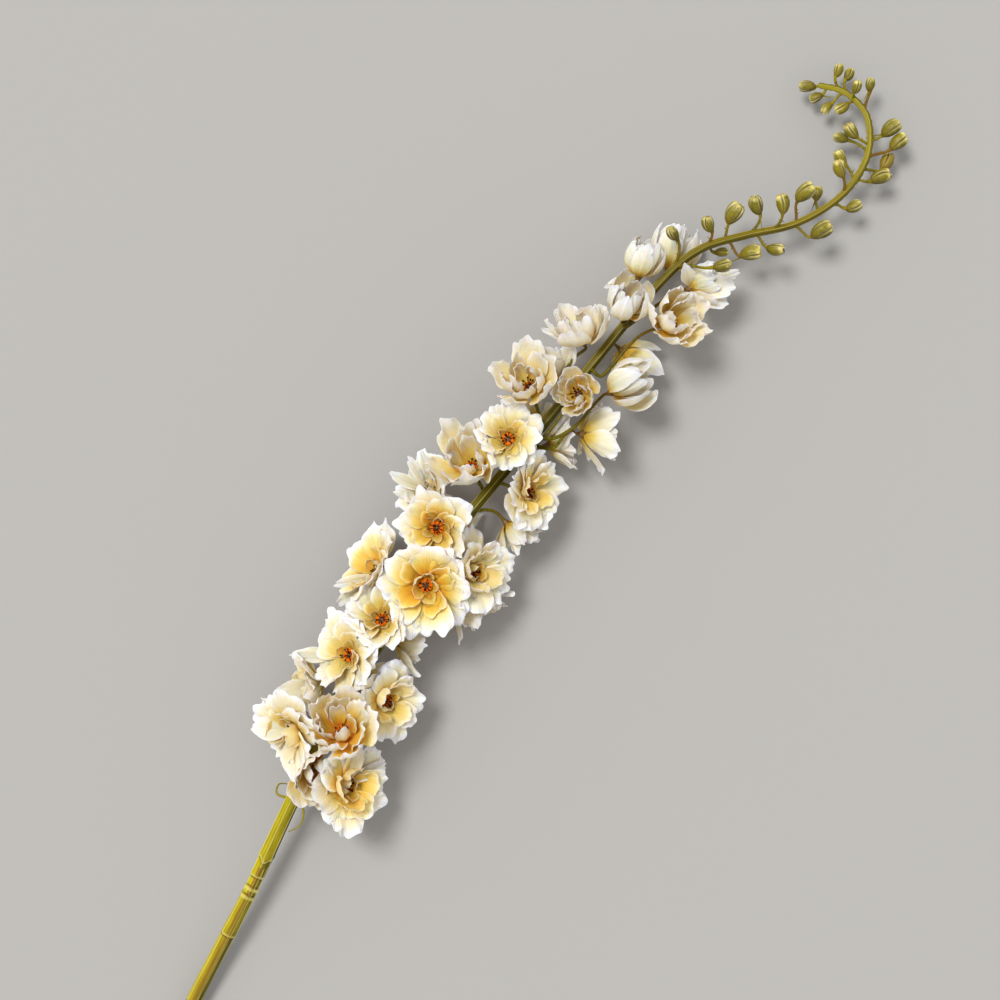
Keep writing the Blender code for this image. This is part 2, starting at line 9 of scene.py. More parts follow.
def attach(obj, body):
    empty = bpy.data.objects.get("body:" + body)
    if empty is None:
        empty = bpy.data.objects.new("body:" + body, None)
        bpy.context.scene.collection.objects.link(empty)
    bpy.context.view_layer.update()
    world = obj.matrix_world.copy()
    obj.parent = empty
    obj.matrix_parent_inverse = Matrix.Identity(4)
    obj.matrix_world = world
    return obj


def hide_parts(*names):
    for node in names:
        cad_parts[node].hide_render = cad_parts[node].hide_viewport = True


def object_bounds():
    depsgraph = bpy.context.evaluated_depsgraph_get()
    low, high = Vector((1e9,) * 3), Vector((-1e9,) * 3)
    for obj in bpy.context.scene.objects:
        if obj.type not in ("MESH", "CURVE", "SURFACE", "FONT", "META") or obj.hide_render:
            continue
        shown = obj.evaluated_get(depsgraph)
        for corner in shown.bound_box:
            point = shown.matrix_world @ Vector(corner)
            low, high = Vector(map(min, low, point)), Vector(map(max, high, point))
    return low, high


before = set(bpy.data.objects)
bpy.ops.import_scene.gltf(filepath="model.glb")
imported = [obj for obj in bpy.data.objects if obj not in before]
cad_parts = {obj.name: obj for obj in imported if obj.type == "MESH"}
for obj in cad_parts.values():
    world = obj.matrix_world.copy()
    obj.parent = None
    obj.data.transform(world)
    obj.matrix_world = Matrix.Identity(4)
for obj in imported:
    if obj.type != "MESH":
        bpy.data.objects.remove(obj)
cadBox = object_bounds()
print("packed solids loaded")

# A cut delphinium spike of pressed cloth blooms and moulded buds. Metres, +Z up, the stem along +X.
# Headings turn from +X towards +Y, lifts rise from the table, both in degrees.

# Blooms: seat x, y, z, heading, lift, width across, opening from 0 (a ball) to 1 (flat), turn
blooms = (
    (-0.1679, -0.0296, 0.046, 308, 50, 0.066, 0.85, 24),
    (-0.1587, 0.0175, 0.044, 152, 40, 0.064, 0.9, 4),
    (-0.1397, -0.0078, 0.063, 43, 64, 0.048, 0.65, 36),
    (-0.1256, 0.0225, 0.036, 143, 10, 0.054, 0.7, 0),
    (-0.1089, -0.0156, 0.046, 288, 55, 0.058, 0.85, 0),
    (-0.0979, 0.0184, 0.054, 118, 50, 0.06, 0.9, 0),
    (-0.0679, 0.0164, 0.057, 48, 66, 0.052, 0.8, 12),
    (-0.0750, -0.0005, 0.03, 296, -8, 0.046, 0.55, 0),
    (-0.0321, 0.0085, 0.06, 198, 80, 0.072, 1, 0),
    (-0.0461, 0.0365, 0.042, 93, -6, 0.066, 0.8, 0),
    (-0.0088, -0.0094, 0.048, -52, 50, 0.06, 0.85, 0),
    (-0.0218, -0.0137, 0.022, 266, -6, 0.056, 0.55, 32),
    (0.0014, 0.0253, 0.056, 148, 74, 0.056, 0.75, 0),
    (0.0159, 0.0426, 0.038, 112, 16, 0.052, 0.7, 0),
    (0.0450, 0.0314, 0.05, 58, 60, 0.048, 0.65, 0),
    (0.0305, -0.0088, 0.034, 258, -8, 0.043, 0.5, 20),
    (0.0546, -0.0047, 0.048, 298, 42, 0.056, 0.8, 0),
    (0.0737, 0.0243, 0.056, 48, 74, 0.051, 0.9, 0),
    (0.0874, 0.0015, 0.036, 320, -5, 0.042, 0.5, 8),
    (0.1070, -0.0116, 0.042, 303, -28, 0.05, 0.55, 40),
    (0.1086, 0.0343, 0.051, 60, 58, 0.042, 0.6, 36),
    (0.1251, 0.0064, 0.056, 128, 72, 0.031, 0.3, 4),
    (0.1284, 0.0236, 0.036, 78, 6, 0.04, 0.5, 20),
    (0.1399, -0.0095, 0.044, -32, 25, 0.031, 0.16, 0),
    (0.1547, 0.0254, 0.046, 52, 30, 0.04, 0.42, 0),
    (0.1665, 0.0016, 0.026, 268, -32, 0.034, 0.3, 0),
    (0.1846, 0.0155, 0.049, 22, 50, 0.029, 0.15, 12),
    (0.1975, -0.0107, 0.046, 328, 60, 0.042, 0.6, 0),
    (0.2257, -0.0086, 0.033, -42, 0, 0.031, 0.35, 0),
    (0.2105, 0.0230, 0.041, 20, 12, 0.028, 0.18, 20),
    (0.2290, 0.0111, 0.018, 20, -4, 0.033, 0.18, 0),
    (-0.1089, 0.0004, 0.023, 250, -62, 0.046, 0.55, 0),
    (0.0066, 0.0146, 0.026, 95, -58, 0.046, 0.55, 4),
    (0.0936, 0.0186, 0.026, 80, -52, 0.04, 0.5, 0),
    (-0.1711, -0.0072, 0.046, 255, 45, 0.04, 0.35, 48),
)

# Buds: middle x, y, z, length, heading, lift
buds = (
    (0.2449, 0.0224, 0.05, 0.011, 80, 40),
    (0.2650, 0.0075, 0.042, 0.011, 60, 20),
    (0.2803, -0.0015, 0.04, 0.015, 5, 15),
    (0.2943, -0.0095, 0.04, 0.013, 60, 25),
    (0.3044, -0.0215, 0.04, 0.013, 45, 10),
    (0.3201, -0.0296, 0.036, 0.015, -10, 15),
    (0.3282, -0.0361, 0.02, 0.01, 20, -20),
    (0.3074, -0.0528, 0.034, 0.015, -20, 10),
    (0.2800, -0.0357, 0.036, 0.012, -60, 20),
    (0.2669, -0.0256, 0.036, 0.014, -40, 10),
    (0.2463, -0.0150, 0.062, 0.012, -40, 25),
    (0.2576, -0.0097, 0.024, 0.009, -50, -15),
    (0.3351, -0.0592, 0.026, 0.011, -30, 5),
    (0.3472, -0.0377, 0.036, 0.012, 60, 20),
    (0.3553, -0.0339, 0.026, 0.011, 70, 0),
    (0.3604, -0.0622, 0.026, 0.014, -30, 5),
    (0.3727, -0.0586, 0.016, 0.013, 10, -20),
    (0.3861, -0.0572, 0.024, 0.013, -10, 5),
    (0.3897, -0.0481, 0.026, 0.014, -15, 10),
    (0.3731, -0.0288, 0.028, 0.012, 80, 20),
    (0.3667, -0.0259, 0.02, 0.01, 110, 0),
    (0.4053, -0.0198, 0.024, 0.009, 30, 10),
    (0.3997, 0.0035, 0.022, 0.009, 20, 10),
    (0.4032, -0.0036, 0.016, 0.009, 10, -10),
    (0.3978, -0.0127, 0.026, 0.009, 20, 30),
    (0.3830, -0.0138, 0.02, 0.01, 160, 0),
    (0.3773, -0.0067, 0.018, 0.009, 175, 0),
    (0.3788, 0.0035, 0.016, 0.009, 150, -10),
    (0.3804, 0.0126, 0.018, 0.011, 125, 0),
)


# Points and curves

def unit(v):
    return v / np.linalg.norm(v)


def direction(heading, lift):
    h = math.radians(heading)
    e = math.radians(lift)
    return np.array((math.cos(h) * math.cos(e), math.sin(h) * math.cos(e), math.sin(e)))


def squareAxes(axis):
    guide = np.array((0.0, 0.0, 1.0)) if abs(axis[2]) < 0.9 else np.array((1.0, 0.0, 0.0))
    side = unit(np.cross(guide, axis))
    return side, np.cross(axis, side)


def outward(side, up, angle):
    return side * math.cos(angle) + up * math.sin(angle)


def hump(x, middle, width, power=2):
    # 1 at the middle, and falling away on both sides
    return np.exp(-(((x - middle) / width) ** power))


def smoothCurve(points, steps):
    p = np.array(points)
    p = np.vstack((2 * p[0] - p[1], p, 2 * p[-1] - p[-2]))
    out = []
    for k in range(1, len(p) - 2):
        for t in np.arange(steps) / steps:
            out.append(0.5 * (2 * p[k] + (p[k + 1] - p[k - 1]) * t
                              + (2 * p[k - 1] - 5 * p[k] + 4 * p[k + 1] - p[k + 2]) * t**2
                              + (3 * p[k] - p[k - 1] - 3 * p[k + 1] + p[k + 2]) * t**3))
    out.append(p[-2])
    return np.array(out)


def lengths(curve):
    return np.concatenate(([0.0], np.cumsum(np.linalg.norm(np.diff(curve, axis=0), axis=1))))


def pointsAt(curve, reach):
    at = lengths(curve)
    return np.stack([np.interp(reach, at, curve[:, k]) for k in range(3)], axis=1)


def nearest(curve, point):
    return int(np.argmin(np.linalg.norm(curve - point, axis=1)))


def bezier(a, b, c, d, count):
    t = np.linspace(0.0, 1.0, count)[:, None]
    return a * (1 - t) ** 3 + 3 * b * t * (1 - t) ** 2 + 3 * c * t**2 * (1 - t) + d * t**3


# A mould gathers closed shells and makes one object of them

# Where a shell's parts lie in its square of the baked picture, as shares of that square
bakeLayout = {"left": 0.01, "faceWide": 0.47, "faceLow": 0.1, "faceTall": 0.88, "underside": 0.5,
              "rimWide": 0.97, "rim": (0.02, 0.07), "tubeTall": (0.06, 0.94), "tubeWide": (0.02, 0.98),
              "cap": 0.02, "caps": (0.03, 0.97)}
# The corners of a grid's cell, as steps along its rows and columns
bladeCorners = ((0, 0), (1, 0), (1, 1), (0, 1))
tubeCorners = ((0, 0), (0, 1), (1, 1), (1, 0))


def quads(grid, corners):
    rows, columns = grid.shape[:2]
    return np.stack([grid[a : rows - 1 + a, b : columns - 1 + b] for a, b in corners], axis=2)


class Mould:
    def __init__(self):
        self.points = []
        self.faces = []
        self.slots = []
        self.places = []
        self.marks = {}
        self.count = 0

    def add(self, points, marks):
        first = self.count
        self.points.append(points.reshape(-1, 3))
        self.count += len(self.points[-1])
        for name, value in marks.items():
            self.marks.setdefault(name, []).append(np.broadcast_to(value, points.shape[:-1]).ravel())
        return first

    def face(self, corners, places, slot=0):
        self.faces += corners.reshape(-1, corners.shape[-1]).tolist()
        self.places.append(places.reshape(-1, 2))
        self.slots += [slot] * (corners.size // corners.shape[-1])

    def blade(self, points, normals, thickness, marks, cell):
        b = bakeLayout
        rows, columns = points.shape[:2]
        count = rows * columns
        half = normals * (thickness / 2)[..., None]
        first = self.add(np.stack((points + half, points - half)), marks)
        index = first + np.arange(count).reshape(rows, columns)
        u, v = np.meshgrid(np.linspace(0, 1, rows), np.linspace(0, 1, columns), indexing="ij")
        x, y, size = cell
        over = np.stack((x + size * (b["left"] + b["faceWide"] * v),
                         y + size * (b["faceLow"] + b["faceTall"] * u)), axis=-1)
        under = over + np.array((b["underside"] * size, 0.0))
        turned = bladeCorners[::-1]
        self.face(quads(index, bladeCorners), quads(over, bladeCorners))
        self.face(quads(index + count, turned), quads(under, turned))
        rim = np.concatenate((index[:-1, 0], index[-1, :-1], index[:0:-1, -1], index[0, :0:-1]))
        after = np.roll(rim, -1)
        at = np.arange(len(rim)) / len(rim) * b["rimWide"] * size + x + b["left"] * size
        step = b["rimWide"] * size / len(rim)
        low, high = (y + share * size for share in b["rim"])
        corners = np.stack((after, rim, rim + count, after + count), axis=-1)
        spots = np.stack([np.stack((across, np.full(len(rim), height)), axis=-1) for across, height
                          in ((at + step, high), (at, high), (at, low), (at + step, low))], axis=1)
        self.face(corners, spots)

    def tube(self, path, radii, sides, marks, cell, slot=0, form=1.0):
        b = bakeLayout
        path = np.asarray(path, dtype=float)
        along = np.gradient(path, axis=0)
        side = squareAxes(unit(along[0]))[0]
        angle = 2 * math.pi * np.arange(sides) / sides
        spread = np.reshape(radii, (-1, 1)) * form * np.ones(sides)
        rings = []
        for point, tangent, wide in zip(path, along, spread):
            tangent = unit(tangent)
            side = unit(side - tangent * (side @ tangent))
            up = np.cross(tangent, side)
            out = np.cos(angle)[:, None] * side + np.sin(angle)[:, None] * up
            rings.append(point + wide[:, None] * out)
        rows = len(path)
        first = self.add(np.array(rings), {name: np.reshape(value, (-1, 1)) if np.ndim(value) == 1 else value
                                           for name, value in marks.items()})
        index = first + np.arange(rows * sides).reshape(rows, sides)
        wrapped = np.concatenate((index, index[:, :1]), axis=1)
        x, y, size = cell
        u, v = np.meshgrid(np.linspace(*b["tubeTall"], rows), np.linspace(*b["tubeWide"], sides + 1),
                           indexing="ij")
        place = np.stack((x + size * v, y + size * u), axis=-1)
        self.face(quads(wrapped, tubeCorners), quads(place, tubeCorners), slot)
        circle = b["cap"] * size * np.stack((np.cos(angle), np.sin(angle)), axis=-1)
        for ring, height, way in zip((index[0], index[-1]), b["caps"], (-1, 1)):
            spots = circle + np.array((x + 0.5 * size, y + height * size))
            self.face(ring[::way][None], spots[::way][None], slot)

    def build(self, name, materials, sharp=60):
        mesh = bpy.data.meshes.new(name)
        mesh.from_pydata(np.concatenate(self.points).tolist(), [], self.faces)
        for material in materials:
            mesh.materials.append(material)
        mesh.polygons.foreach_set("material_index", self.slots)
        for mark, values in self.marks.items():
            layer = mesh.attributes.new(mark, "FLOAT", "POINT")
            layer.data.foreach_set("value", np.concatenate(values).astype(np.float32))
        layer = mesh.uv_layers.new(name="OFBake")
        layer.data.foreach_set("uv", np.concatenate(self.places).astype(np.float32).ravel())
        mesh.shade_smooth()
        mesh.set_sharp_from_angle(angle=math.radians(sharp))
        made = bpy.data.objects.new(name, mesh)
        bpy.context.scene.collection.objects.link(made)
        return made


def cells(count):
    across = math.ceil(math.sqrt(count))
    return [(k % across / across, k // across / across, 1 / across) for k in range(across * across)]


# Materials

def newMaterial(name, surface):
    material = bpy.data.materials.new(name)
    material.use_nodes = True
    shader = material.node_tree.nodes["Principled BSDF"]
    for socket, value in {"Metallic": 0.0, **surface}.items():
        shader.inputs[socket].default_value = value
    return material, material.node_tree, shader


def node(tree, kind, values=None, **settings):
    made = tree.nodes.new(kind)
    for key, value in settings.items():
        setattr(made, key, value)
    for key, value in (values or {}).items():
        if hasattr(value, "links"):
            tree.links.new(value, made.inputs[key])
        else:
            made.inputs[key].default_value = value
    return made


def marks(tree, *names):
    return [node(tree, "ShaderNodeAttribute", attribute_name=name).outputs["Fac"] for name in names]


def sums(tree, operation, a, b=0.0, c=0.0):
    return node(tree, "ShaderNodeMath", {0: a, 1: b, 2: c}, operation=operation).outputs[0]


def times(tree, a, b, plus=None):
    return sums(tree, "MULTIPLY", a, b) if plus is None else sums(tree, "MULTIPLY_ADD", a, b, plus)


def swing(tree, noise, amount, value):
    # The value, with noise added on both sides of it
    return times(tree, sums(tree, "SUBTRACT", noise, 0.5), amount, value)


def ramp(tree, factor, stops):
    made = node(tree, "ShaderNodeValToRGB", {0: factor})
    colours = made.color_ramp
    while len(colours.elements) < len(stops):
        colours.elements.new(0.5)
    for element, (place, colour) in zip(colours.elements, stops):
        element.position = place
        element.color = (*colour, 1.0)
    return made.outputs["Color"]


def blend(tree, factor, a, b, kind="MIX"):
    made = tree.nodes.new("ShaderNodeMix")
    made.data_type = "RGBA"
    made.blend_type = kind
    for socket, value in ((0, factor), (6, a), (7, b)):
        if hasattr(value, "links"):
            tree.links.new(value, made.inputs[socket])
        else:
            made.inputs[socket].default_value = value if np.isscalar(value) else (*value, 1.0)
    return made.outputs[2]


def combined(tree, x, y, z):
    return node(tree, "ShaderNodeCombineXYZ", {0: x, 1: y, 2: z}).outputs[0]


def shaded(tree, factor, colour, shade):
    return blend(tree, factor, colour, combined(tree, shade, shade, shade), "MULTIPLY")


def grain(tree, vector, scale, detail=2.0, rough=0.5):
    return node(tree, "ShaderNodeTexNoise", {"Vector": vector, "Scale": scale, "Detail": detail,
                                             "Roughness": rough}).outputs["Fac"]


def speckle(tree, scale, detail=2.0, rough=0.5):
    return grain(tree, node(tree, "ShaderNodeTexCoord").outputs["Object"], scale, detail, rough)


def dress(tree, shader, colour, height, distance):
    tree.links.new(colour, shader.inputs["Base Color"])
    made = node(tree, "ShaderNodeBump", {"Height": height, "Distance": distance, "Strength": 1.0})
    tree.links.new(made.outputs[0], shader.inputs["Normal"])


petalCloth = {
    "warmth": ((0.0, (0.97, 0.92, 0.87)), (0.12, (0.96, 0.865, 0.73)), (0.3, (0.94, 0.765, 0.46)),
               (0.5, (0.92, 0.62, 0.17)), (0.68, (0.90, 0.48, 0.05)), (0.82, (0.86, 0.36, 0.018)),
               (0.93, (0.80, 0.22, 0.008)), (1.0, (0.64, 0.09, 0.002))),
    "veins": 105.0,  # how often they come round a petal's fan
    "veinDepth": 0.00010,
    "veinShade": 0.085,
    "creaseScale": (11.0, 2.0),  # across the fan and along it
    "creaseDepth": 0.0009,
    "blotch": 0.07,
    "blotchScale": 160.0,
    # The subsurface values are light that passes through the cloth
    "surface": {"Roughness": 0.62, "Subsurface Weight": 0.6, "Subsurface Radius": (1.0, 0.62, 0.26),
                "Subsurface Scale": 0.0022, "Specular IOR Level": 0.18, "Sheen Weight": 0.06,
                "Sheen Roughness": 0.5},
}


def petalMaterial():
    m = petalCloth
    material, tree, shader = newMaterial("petalCloth", m["surface"])
    fan, along, edge, chance, warmth = marks(tree, "fan", "along", "edge", "chance", "warmth")
    across, down = m["creaseScale"]
    seed = times(tree, chance, 40.0)
    ribs = sums(tree, "SINE", times(tree, fan, m["veins"]))
    creased = combined(tree, times(tree, fan, across), times(tree, along, down), seed)
    creases = grain(tree, creased, 1.0, 3.0, 0.55)
    warm = swing(tree, speckle(tree, m["blotchScale"], 3.0), m["blotch"] * 2, warmth)
    warm = swing(tree, creases, m["veinShade"] * 3, warm)
    warm = times(tree, ribs, m["veinShade"] * 0.25, warm)
    pleats = times(tree, creases, times(tree, edge, 0.9, 0.25))
    height = times(tree, ribs, m["veinDepth"] / m["creaseDepth"], pleats)
    dress(tree, shader, ramp(tree, warm, m["warmth"]), height, m["creaseDepth"])
    return material


calyxPaint = {"base": (0.10, 0.028, 0.008), "tip": (0.22, 0.14, 0.02), "spotScale": 900.0,
              "surface": {"Roughness": 0.55}}


def calyxMaterial():
    m = calyxPaint
    material, tree, shader = newMaterial("calyxPaint", m["surface"])
    colour = blend(tree, speckle(tree, m["spotScale"]), m["base"], m["tip"])
    tree.links.new(colour, shader.inputs["Base Color"])
    return material


stemPaint = {
    "lengthwise": ((0.0, (0.28, 0.22, 0.005)), (0.24, (0.25, 0.21, 0.005)), (0.36, (0.13, 0.115, 0.004)),
                   (0.55, (0.090, 0.076, 0.003)), (0.74, (0.11, 0.086, 0.004)), (0.86, (0.15, 0.115, 0.006)),
                   (1.0, (0.19, 0.165, 0.006))),
    # The groove colour also paints the shade at the collar cuts and under the lips of the moulded lengths
    "groove": (0.055, 0.032, 0.002),
    # The rib colour is a painted highlight on the ribs, collars, lips and the panel's edge
    "rib": (0.62, 0.57, 0.16),
    "rust": (0.15, 0.050, 0.004),
    "streakScale": (3.0, 45.0),  # round the stem and along it
    "streaks": 2.0,
    "spotScale": 420.0,
    "mouldDepth": 0.00022,
    "surface": {"Roughness": 0.4, "Specular IOR Level": 0.15},
}


def stemMaterial():
    m = stemPaint
    material, tree, shader = newMaterial("stemPaint", m["surface"])
    along, groove, rib, around, rust, paintedLightAndTone = marks(tree, "along", "groove", "rib", "around", "rust", "paintedLightAndTone")
    across, down = m["streakScale"]
    streaked = combined(tree, times(tree, around, across), times(tree, along, down), 0.0)
    streak = grain(tree, streaked, 1.0, 4.0, 0.6)
    spots = speckle(tree, m["spotScale"], 4.0, 0.65)
    # Painted light and shade by side, broken by random streaks
    shade = swing(tree, streak, m["streaks"], times(tree, paintedLightAndTone, 0.80, 1.02))
    colour = shaded(tree, 0.9, ramp(tree, along, m["lengthwise"]), shade)
    colour = blend(tree, groove, colour, m["groove"])
    # Painted highlight along the ribs, broken by spots
    ribHighlight = times(tree, rib, times(tree, spots, 0.8, 0.35))
    colour = blend(tree, ribHighlight, colour, m["rib"])
    colour = blend(tree, rust, colour, m["rust"])
    dress(tree, shader, colour, times(tree, spots, 0.5, streak), m["mouldDepth"])
    return material


budPaint = {
    "body": ((0.0, (0.11, 0.080, 0.003)), (0.4, (0.115, 0.095, 0.003)), (0.75, (0.14, 0.12, 0.006)),
             (1.0, (0.44, 0.38, 0.12))),
    "seam": (0.035, 0.016, 0.002),
    # the rim is a painted highlight on the lips beside the seams
    "rim": (0.62, 0.56, 0.26),
    "blush": (0.30, 0.12, 0.04),
    "blushFrom": 0.8,  # the share of buds without a blush
    "spotScale": 380.0,
    "mouldDepth": 0.00022,
    "surface": {"Roughness": 0.38, "Specular IOR Level": 0.3},
}


def budMaterial():
    m = budPaint
    material, tree, shader = newMaterial("budPaint", m["surface"])
    along, groove, rib, chance, paintedLightAndTone = marks(tree, "along", "groove", "rib", "chance", "paintedLightAndTone")
    spots = speckle(tree, m["spotScale"], 4.0, 0.6)
    colour = ramp(tree, swing(tree, spots, 0.55, along), m["body"])
    # Each bud's random tone, with painted light and shade by side
    lightness = times(tree, chance, 0.6, times(tree, paintedLightAndTone, 0.6, 0.7))
    colour = shaded(tree, 1.0, colour, swing(tree, spots, 1.2, lightness))
    tint = times(tree, sums(tree, "MAXIMUM", sums(tree, "SUBTRACT", chance, m["blushFrom"]), 0.0), spots)
    # The blush is a tint on some buds, and the rim a painted highlight on the lips beside the seams
    for factor, strength, name in ((tint, 2.0, "blush"), (rib, 0.8, "rim"), (groove, 0.9, "seam")):
        colour = blend(tree, times(tree, factor, strength), colour, m[name])
    dress(tree, shader, colour, spots, m["mouldDepth"])
    return material


heartPaint = {"disc": (0.42, 0.032, 0.002), "brim": (0.72, 0.15, 0.005), "thread": (0.034, 0.003, 0.001),
              "spotScale": 1300.0, "loose": 0.35, "grainDepth": 0.0002,
              "surface": {"Roughness": 0.6, "Specular IOR Level": 0.02}}


def heartMaterial():
    m = heartPaint
    material, tree, shader = newMaterial("heartPaint", m["surface"])
    brim, dark = marks(tree, "brim", "dark")
    spots = speckle(tree, m["spotScale"])
    loose = times(tree, sums(tree, "SUBTRACT", spots, 0.5), m["loose"])
    colour = blend(tree, sums(tree, "ADD", brim, loose), m["disc"], m["brim"])
    colour = blend(tree, sums(tree, "ADD", dark, loose), colour, m["thread"])
    dress(tree, shader, colour, spots, m["grainDepth"])
    return material


# Petals. Three values are for a closed, a half open and an open bloom, and are mixed by its opening.
# Slopes run from root to tip, in degrees from the bloom's axis; lengths and widths are shares of its width.
whorlForms = {
    "outer": {"petals": (5, 5), "foot": 0.0027, "height": 0.0, "tilt": 0.05, "wrap": 0.95,
              "slopes": ((84, 44, 4, -35, -75), (76, 58, 46, 40, 44), (70, 77, 84, 90, 98)),
              "length": 1.0, "width": (0.60, 0.54, 0.58), "point": (0.2, 0.45, 0.1), "rows": 17,
              "columns": 25, "ruffle": (0.0003, 0.0010, 0.0020), "cup": (0.0, 0.0006, -0.0006),
              "claw": (0.42, 0.28, 0.26), "rim": -0.5, "loose": 1.3},
    "middle": {"petals": (5, 5), "foot": (0.0024, 0.0024, 0.0034), "height": 0.0008, "tilt": 0.05,
               "slopes": ((62, 28, -4, -36, -66), (62, 44, 38, 36, 42), (70, 72, 75, 80, 92)),
               "length": (0.9, 0.84, 0.88), "width": (0.48, 0.44, 0.52), "point": (0.1, 0.25, 0.05),
               "rows": 15, "columns": 21, "ruffle": (0.0003, 0.0010, 0.0020), "cup": (0.0, 0.0014, 0.0004),
               "claw": (0.4, 0.3, 0.28), "wrap": 0.9, "rim": -0.5, "loose": 1.4},
    "inner": {"petals": (3, 4), "foot": (0.0020, 0.0022, 0.0052), "height": (0.0017, 0.0017, 0.0014),
              "slopes": ((50, 26, 5, -16, -34), (56, 34, 24, 22, 28), (76, 66, 56, 46, 60)), "tilt": 0.04,
              "length": (0.76, 0.66, 0.54), "width": (0.38, 0.34, 0.36), "point": (0.05, 0.1, 0.0),
              "rows": 13, "columns": 15, "ruffle": (0.0003, 0.0007, 0.0013), "cup": (0.001, 0.0018, 0.0022),
              "claw": (0.4, 0.4, 0.45), "wrap": 0.85, "rim": -0.3, "loose": 1.7},
    "cup": {"petals": (0, 5), "foot": (0.003, 0.0040, 0.0042), "height": 0.0012, "tilt": 0.01, "wrap": 0.9,
            "slopes": ((50, 26, 5, -16, -34), (50, 30, 14, 4, 6), (80, 64, 40, 18, 4)), "point": 0.0,
            "length": (0.3, 0.28, 0.27), "width": (0.16, 0.16, 0.20), "rows": 11, "columns": 9,
            "ruffle": (0.0002, 0.0003, 0.0006), "cup": (0.001, 0.0016, 0.0020), "claw": 0.5, "rim": -0.3,
            "loose": 3.0},
}
# Bowl-shaped blooms, and how their four rings of petals differ
bowlForm = {"blooms": (3, 15, 21, 22, 25, 28, 35), "wider": 1.15, "point": 0.4, "ruffle": 1.5,
            "petals": {"outer": 5, "middle": 5, "inner": 4, "cup": 0},
            "slopes": {"outer": (82, 64, 40, 14, 0), "middle": (76, 54, 26, 2, -14),
                       "inner": (68, 42, 12, -10, -24), "cup": (60, 30, 5, -10, -20)}}
# Blooms whose smallest petals fold over the heart
foldedForm = {"blooms": (1, 2, 4, 5, 11, 14), "wider": 1.15, "longer": 1.2,
              "slopes": {"inner": (70, 50, 28, 10, 20), "cup": (60, 30, 4, -14, -20)}}
# Blooms that a neighbour covers in part, turned to show more of their face: heading, lift, width, opening
turnedBlooms = {10: (102, 30, 0.072, 0.84), 14: (100, 42, 0.054, 0.85), 35: (258, 62, 0.044, 0.45)}
extraForm = {"foot": 0.0012, "height": 0.0, "tilt": 0.0, "wrap": 0.9, "rows": 17, "columns": 15,
             "ruffle": 0.0009, "cup": 0.0010, "claw": 0.35, "rim": -0.3, "lean": 72, "bow": 16, "loose": 0.0}
# How far the yellow spreads in a bloom, where it isn't the usual, and the warmth of its parts
warmBlooms = {1: 0.9, 2: 0.8, 3: 1.2, 4: 0.8, 5: 0.75, 6: 0.75, 7: 0.84, 9: 1.04, 10: 0.9, 11: 0.6, 13: 1.0,
              14: 0.3, 15: 0.8, 17: 0.8, 18: 0.84, 20: 0.7, 21: 0.7, 22: 0.9, 25: 0.4, 28: 0.9, 29: 0.8,
              32: 0.7, 35: 1.2}
petalTones = {"usualDeep": 0.52, "blade": 0.29, "pit": 0.86, "pitRadius": 0.0084, "root": 0.32, "rim": 0.22,
              "spreadEnd": 0.44, "calyx": 0.6}
petalThickness = 0.0004
bloomPress = {"clearance": -0.004, "stemClearance": 0.002, "knee": 0.010, "reach": 1.25,
              "ahead": (0.42, 0.30), "raise": 0.35, "rounds": 2, "budShare": 0.4, "stemRadius": 0.0049}
heightRoom = {"least": 0.0006, "bendBelow": 0.006, "spare": 0.004, "give": 2.5}
halfOpen = 0.55

# Single long petals and the lobes behind a bloom: tip x, y, z and width
extraPetals = {
    1: ((-0.1406, -0.0427, 0.036, 0.010), (-0.1496, -0.0480, 0.032, 0.010), (-0.1620, -0.0500, 0.028, 0.010),
        (-0.1967, -0.0502, 0.034, 0.008), (-0.1380, -0.0170, 0.057, 0.020)),
    2: ((-0.176, 0.040, 0.040, 0.020), (-0.1825, -0.002, 0.057, 0.022)),
    4: ((-0.152, 0.042, 0.038, 0.017),),
    5: ((-0.126, -0.036, 0.032, 0.006),),
    6: ((-0.123, 0.049, 0.030, 0.011),),
    10: ((-0.070, 0.055, 0.036, 0.008), (-0.080, 0.046, 0.028, 0.012)),
    11: ((0.008, 0.010, 0.050, 0.006),),
    12: ((-0.005, -0.037, 0.034, 0.005), (-0.012, -0.041, 0.030, 0.005)),
    14: ((0.010, 0.071, 0.044, 0.009), (0.002, 0.061, 0.038, 0.009), (0.025, 0.068, 0.046, 0.008),
         (0.033, 0.063, 0.046, 0.009), (0.036, 0.054, 0.044, 0.008)),
    16: ((0.041, -0.029, 0.036, 0.006), (0.035, -0.032, 0.030, 0.010)),
    23: ((0.1340, 0.0440, 0.046, 0.018), (0.1475, 0.0300, 0.050, 0.015)),
    24: ((0.172, -0.017, 0.050, 0.008),),
    25: ((0.144, 0.050, 0.052, 0.008),),
    26: ((0.168, -0.012, 0.030, 0.011),),
    27: ((0.208, 0.013, 0.052, 0.010),),
    29: ((0.2425, -0.0297, 0.043, 0.020), (0.2320, -0.0330, 0.036, 0.018), (0.2440, -0.0085, 0.045, 0.018),
         (0.2335, 0.0030, 0.046, 0.012), (0.254, -0.027, 0.034, 0.009)),
    30: ((0.192, 0.035, 0.042, 0.009),),
    31: ((0.255, 0.020, 0.034, 0.007), (0.254, 0.010, 0.028, 0.007)),
}


def mixed(value, opening):
    return value if np.isscalar(value) else np.interp(opening, (0, 0.5, 1), value)


def spine(slopes, length, steps=40):
    # Radius and height along a petal's middle line, and its slope
    t = np.linspace(0, 1, steps + 1)
    slope = np.radians(np.interp(t, np.linspace(0, 1, len(slopes)), slopes))
    step = length / steps
    radius, height = (np.concatenate(([0], np.cumsum((part[1:] + part[:-1]) / 2 * step)))
                      for part in (np.sin(slope), np.cos(slope)))
    return t, radius, height, slope


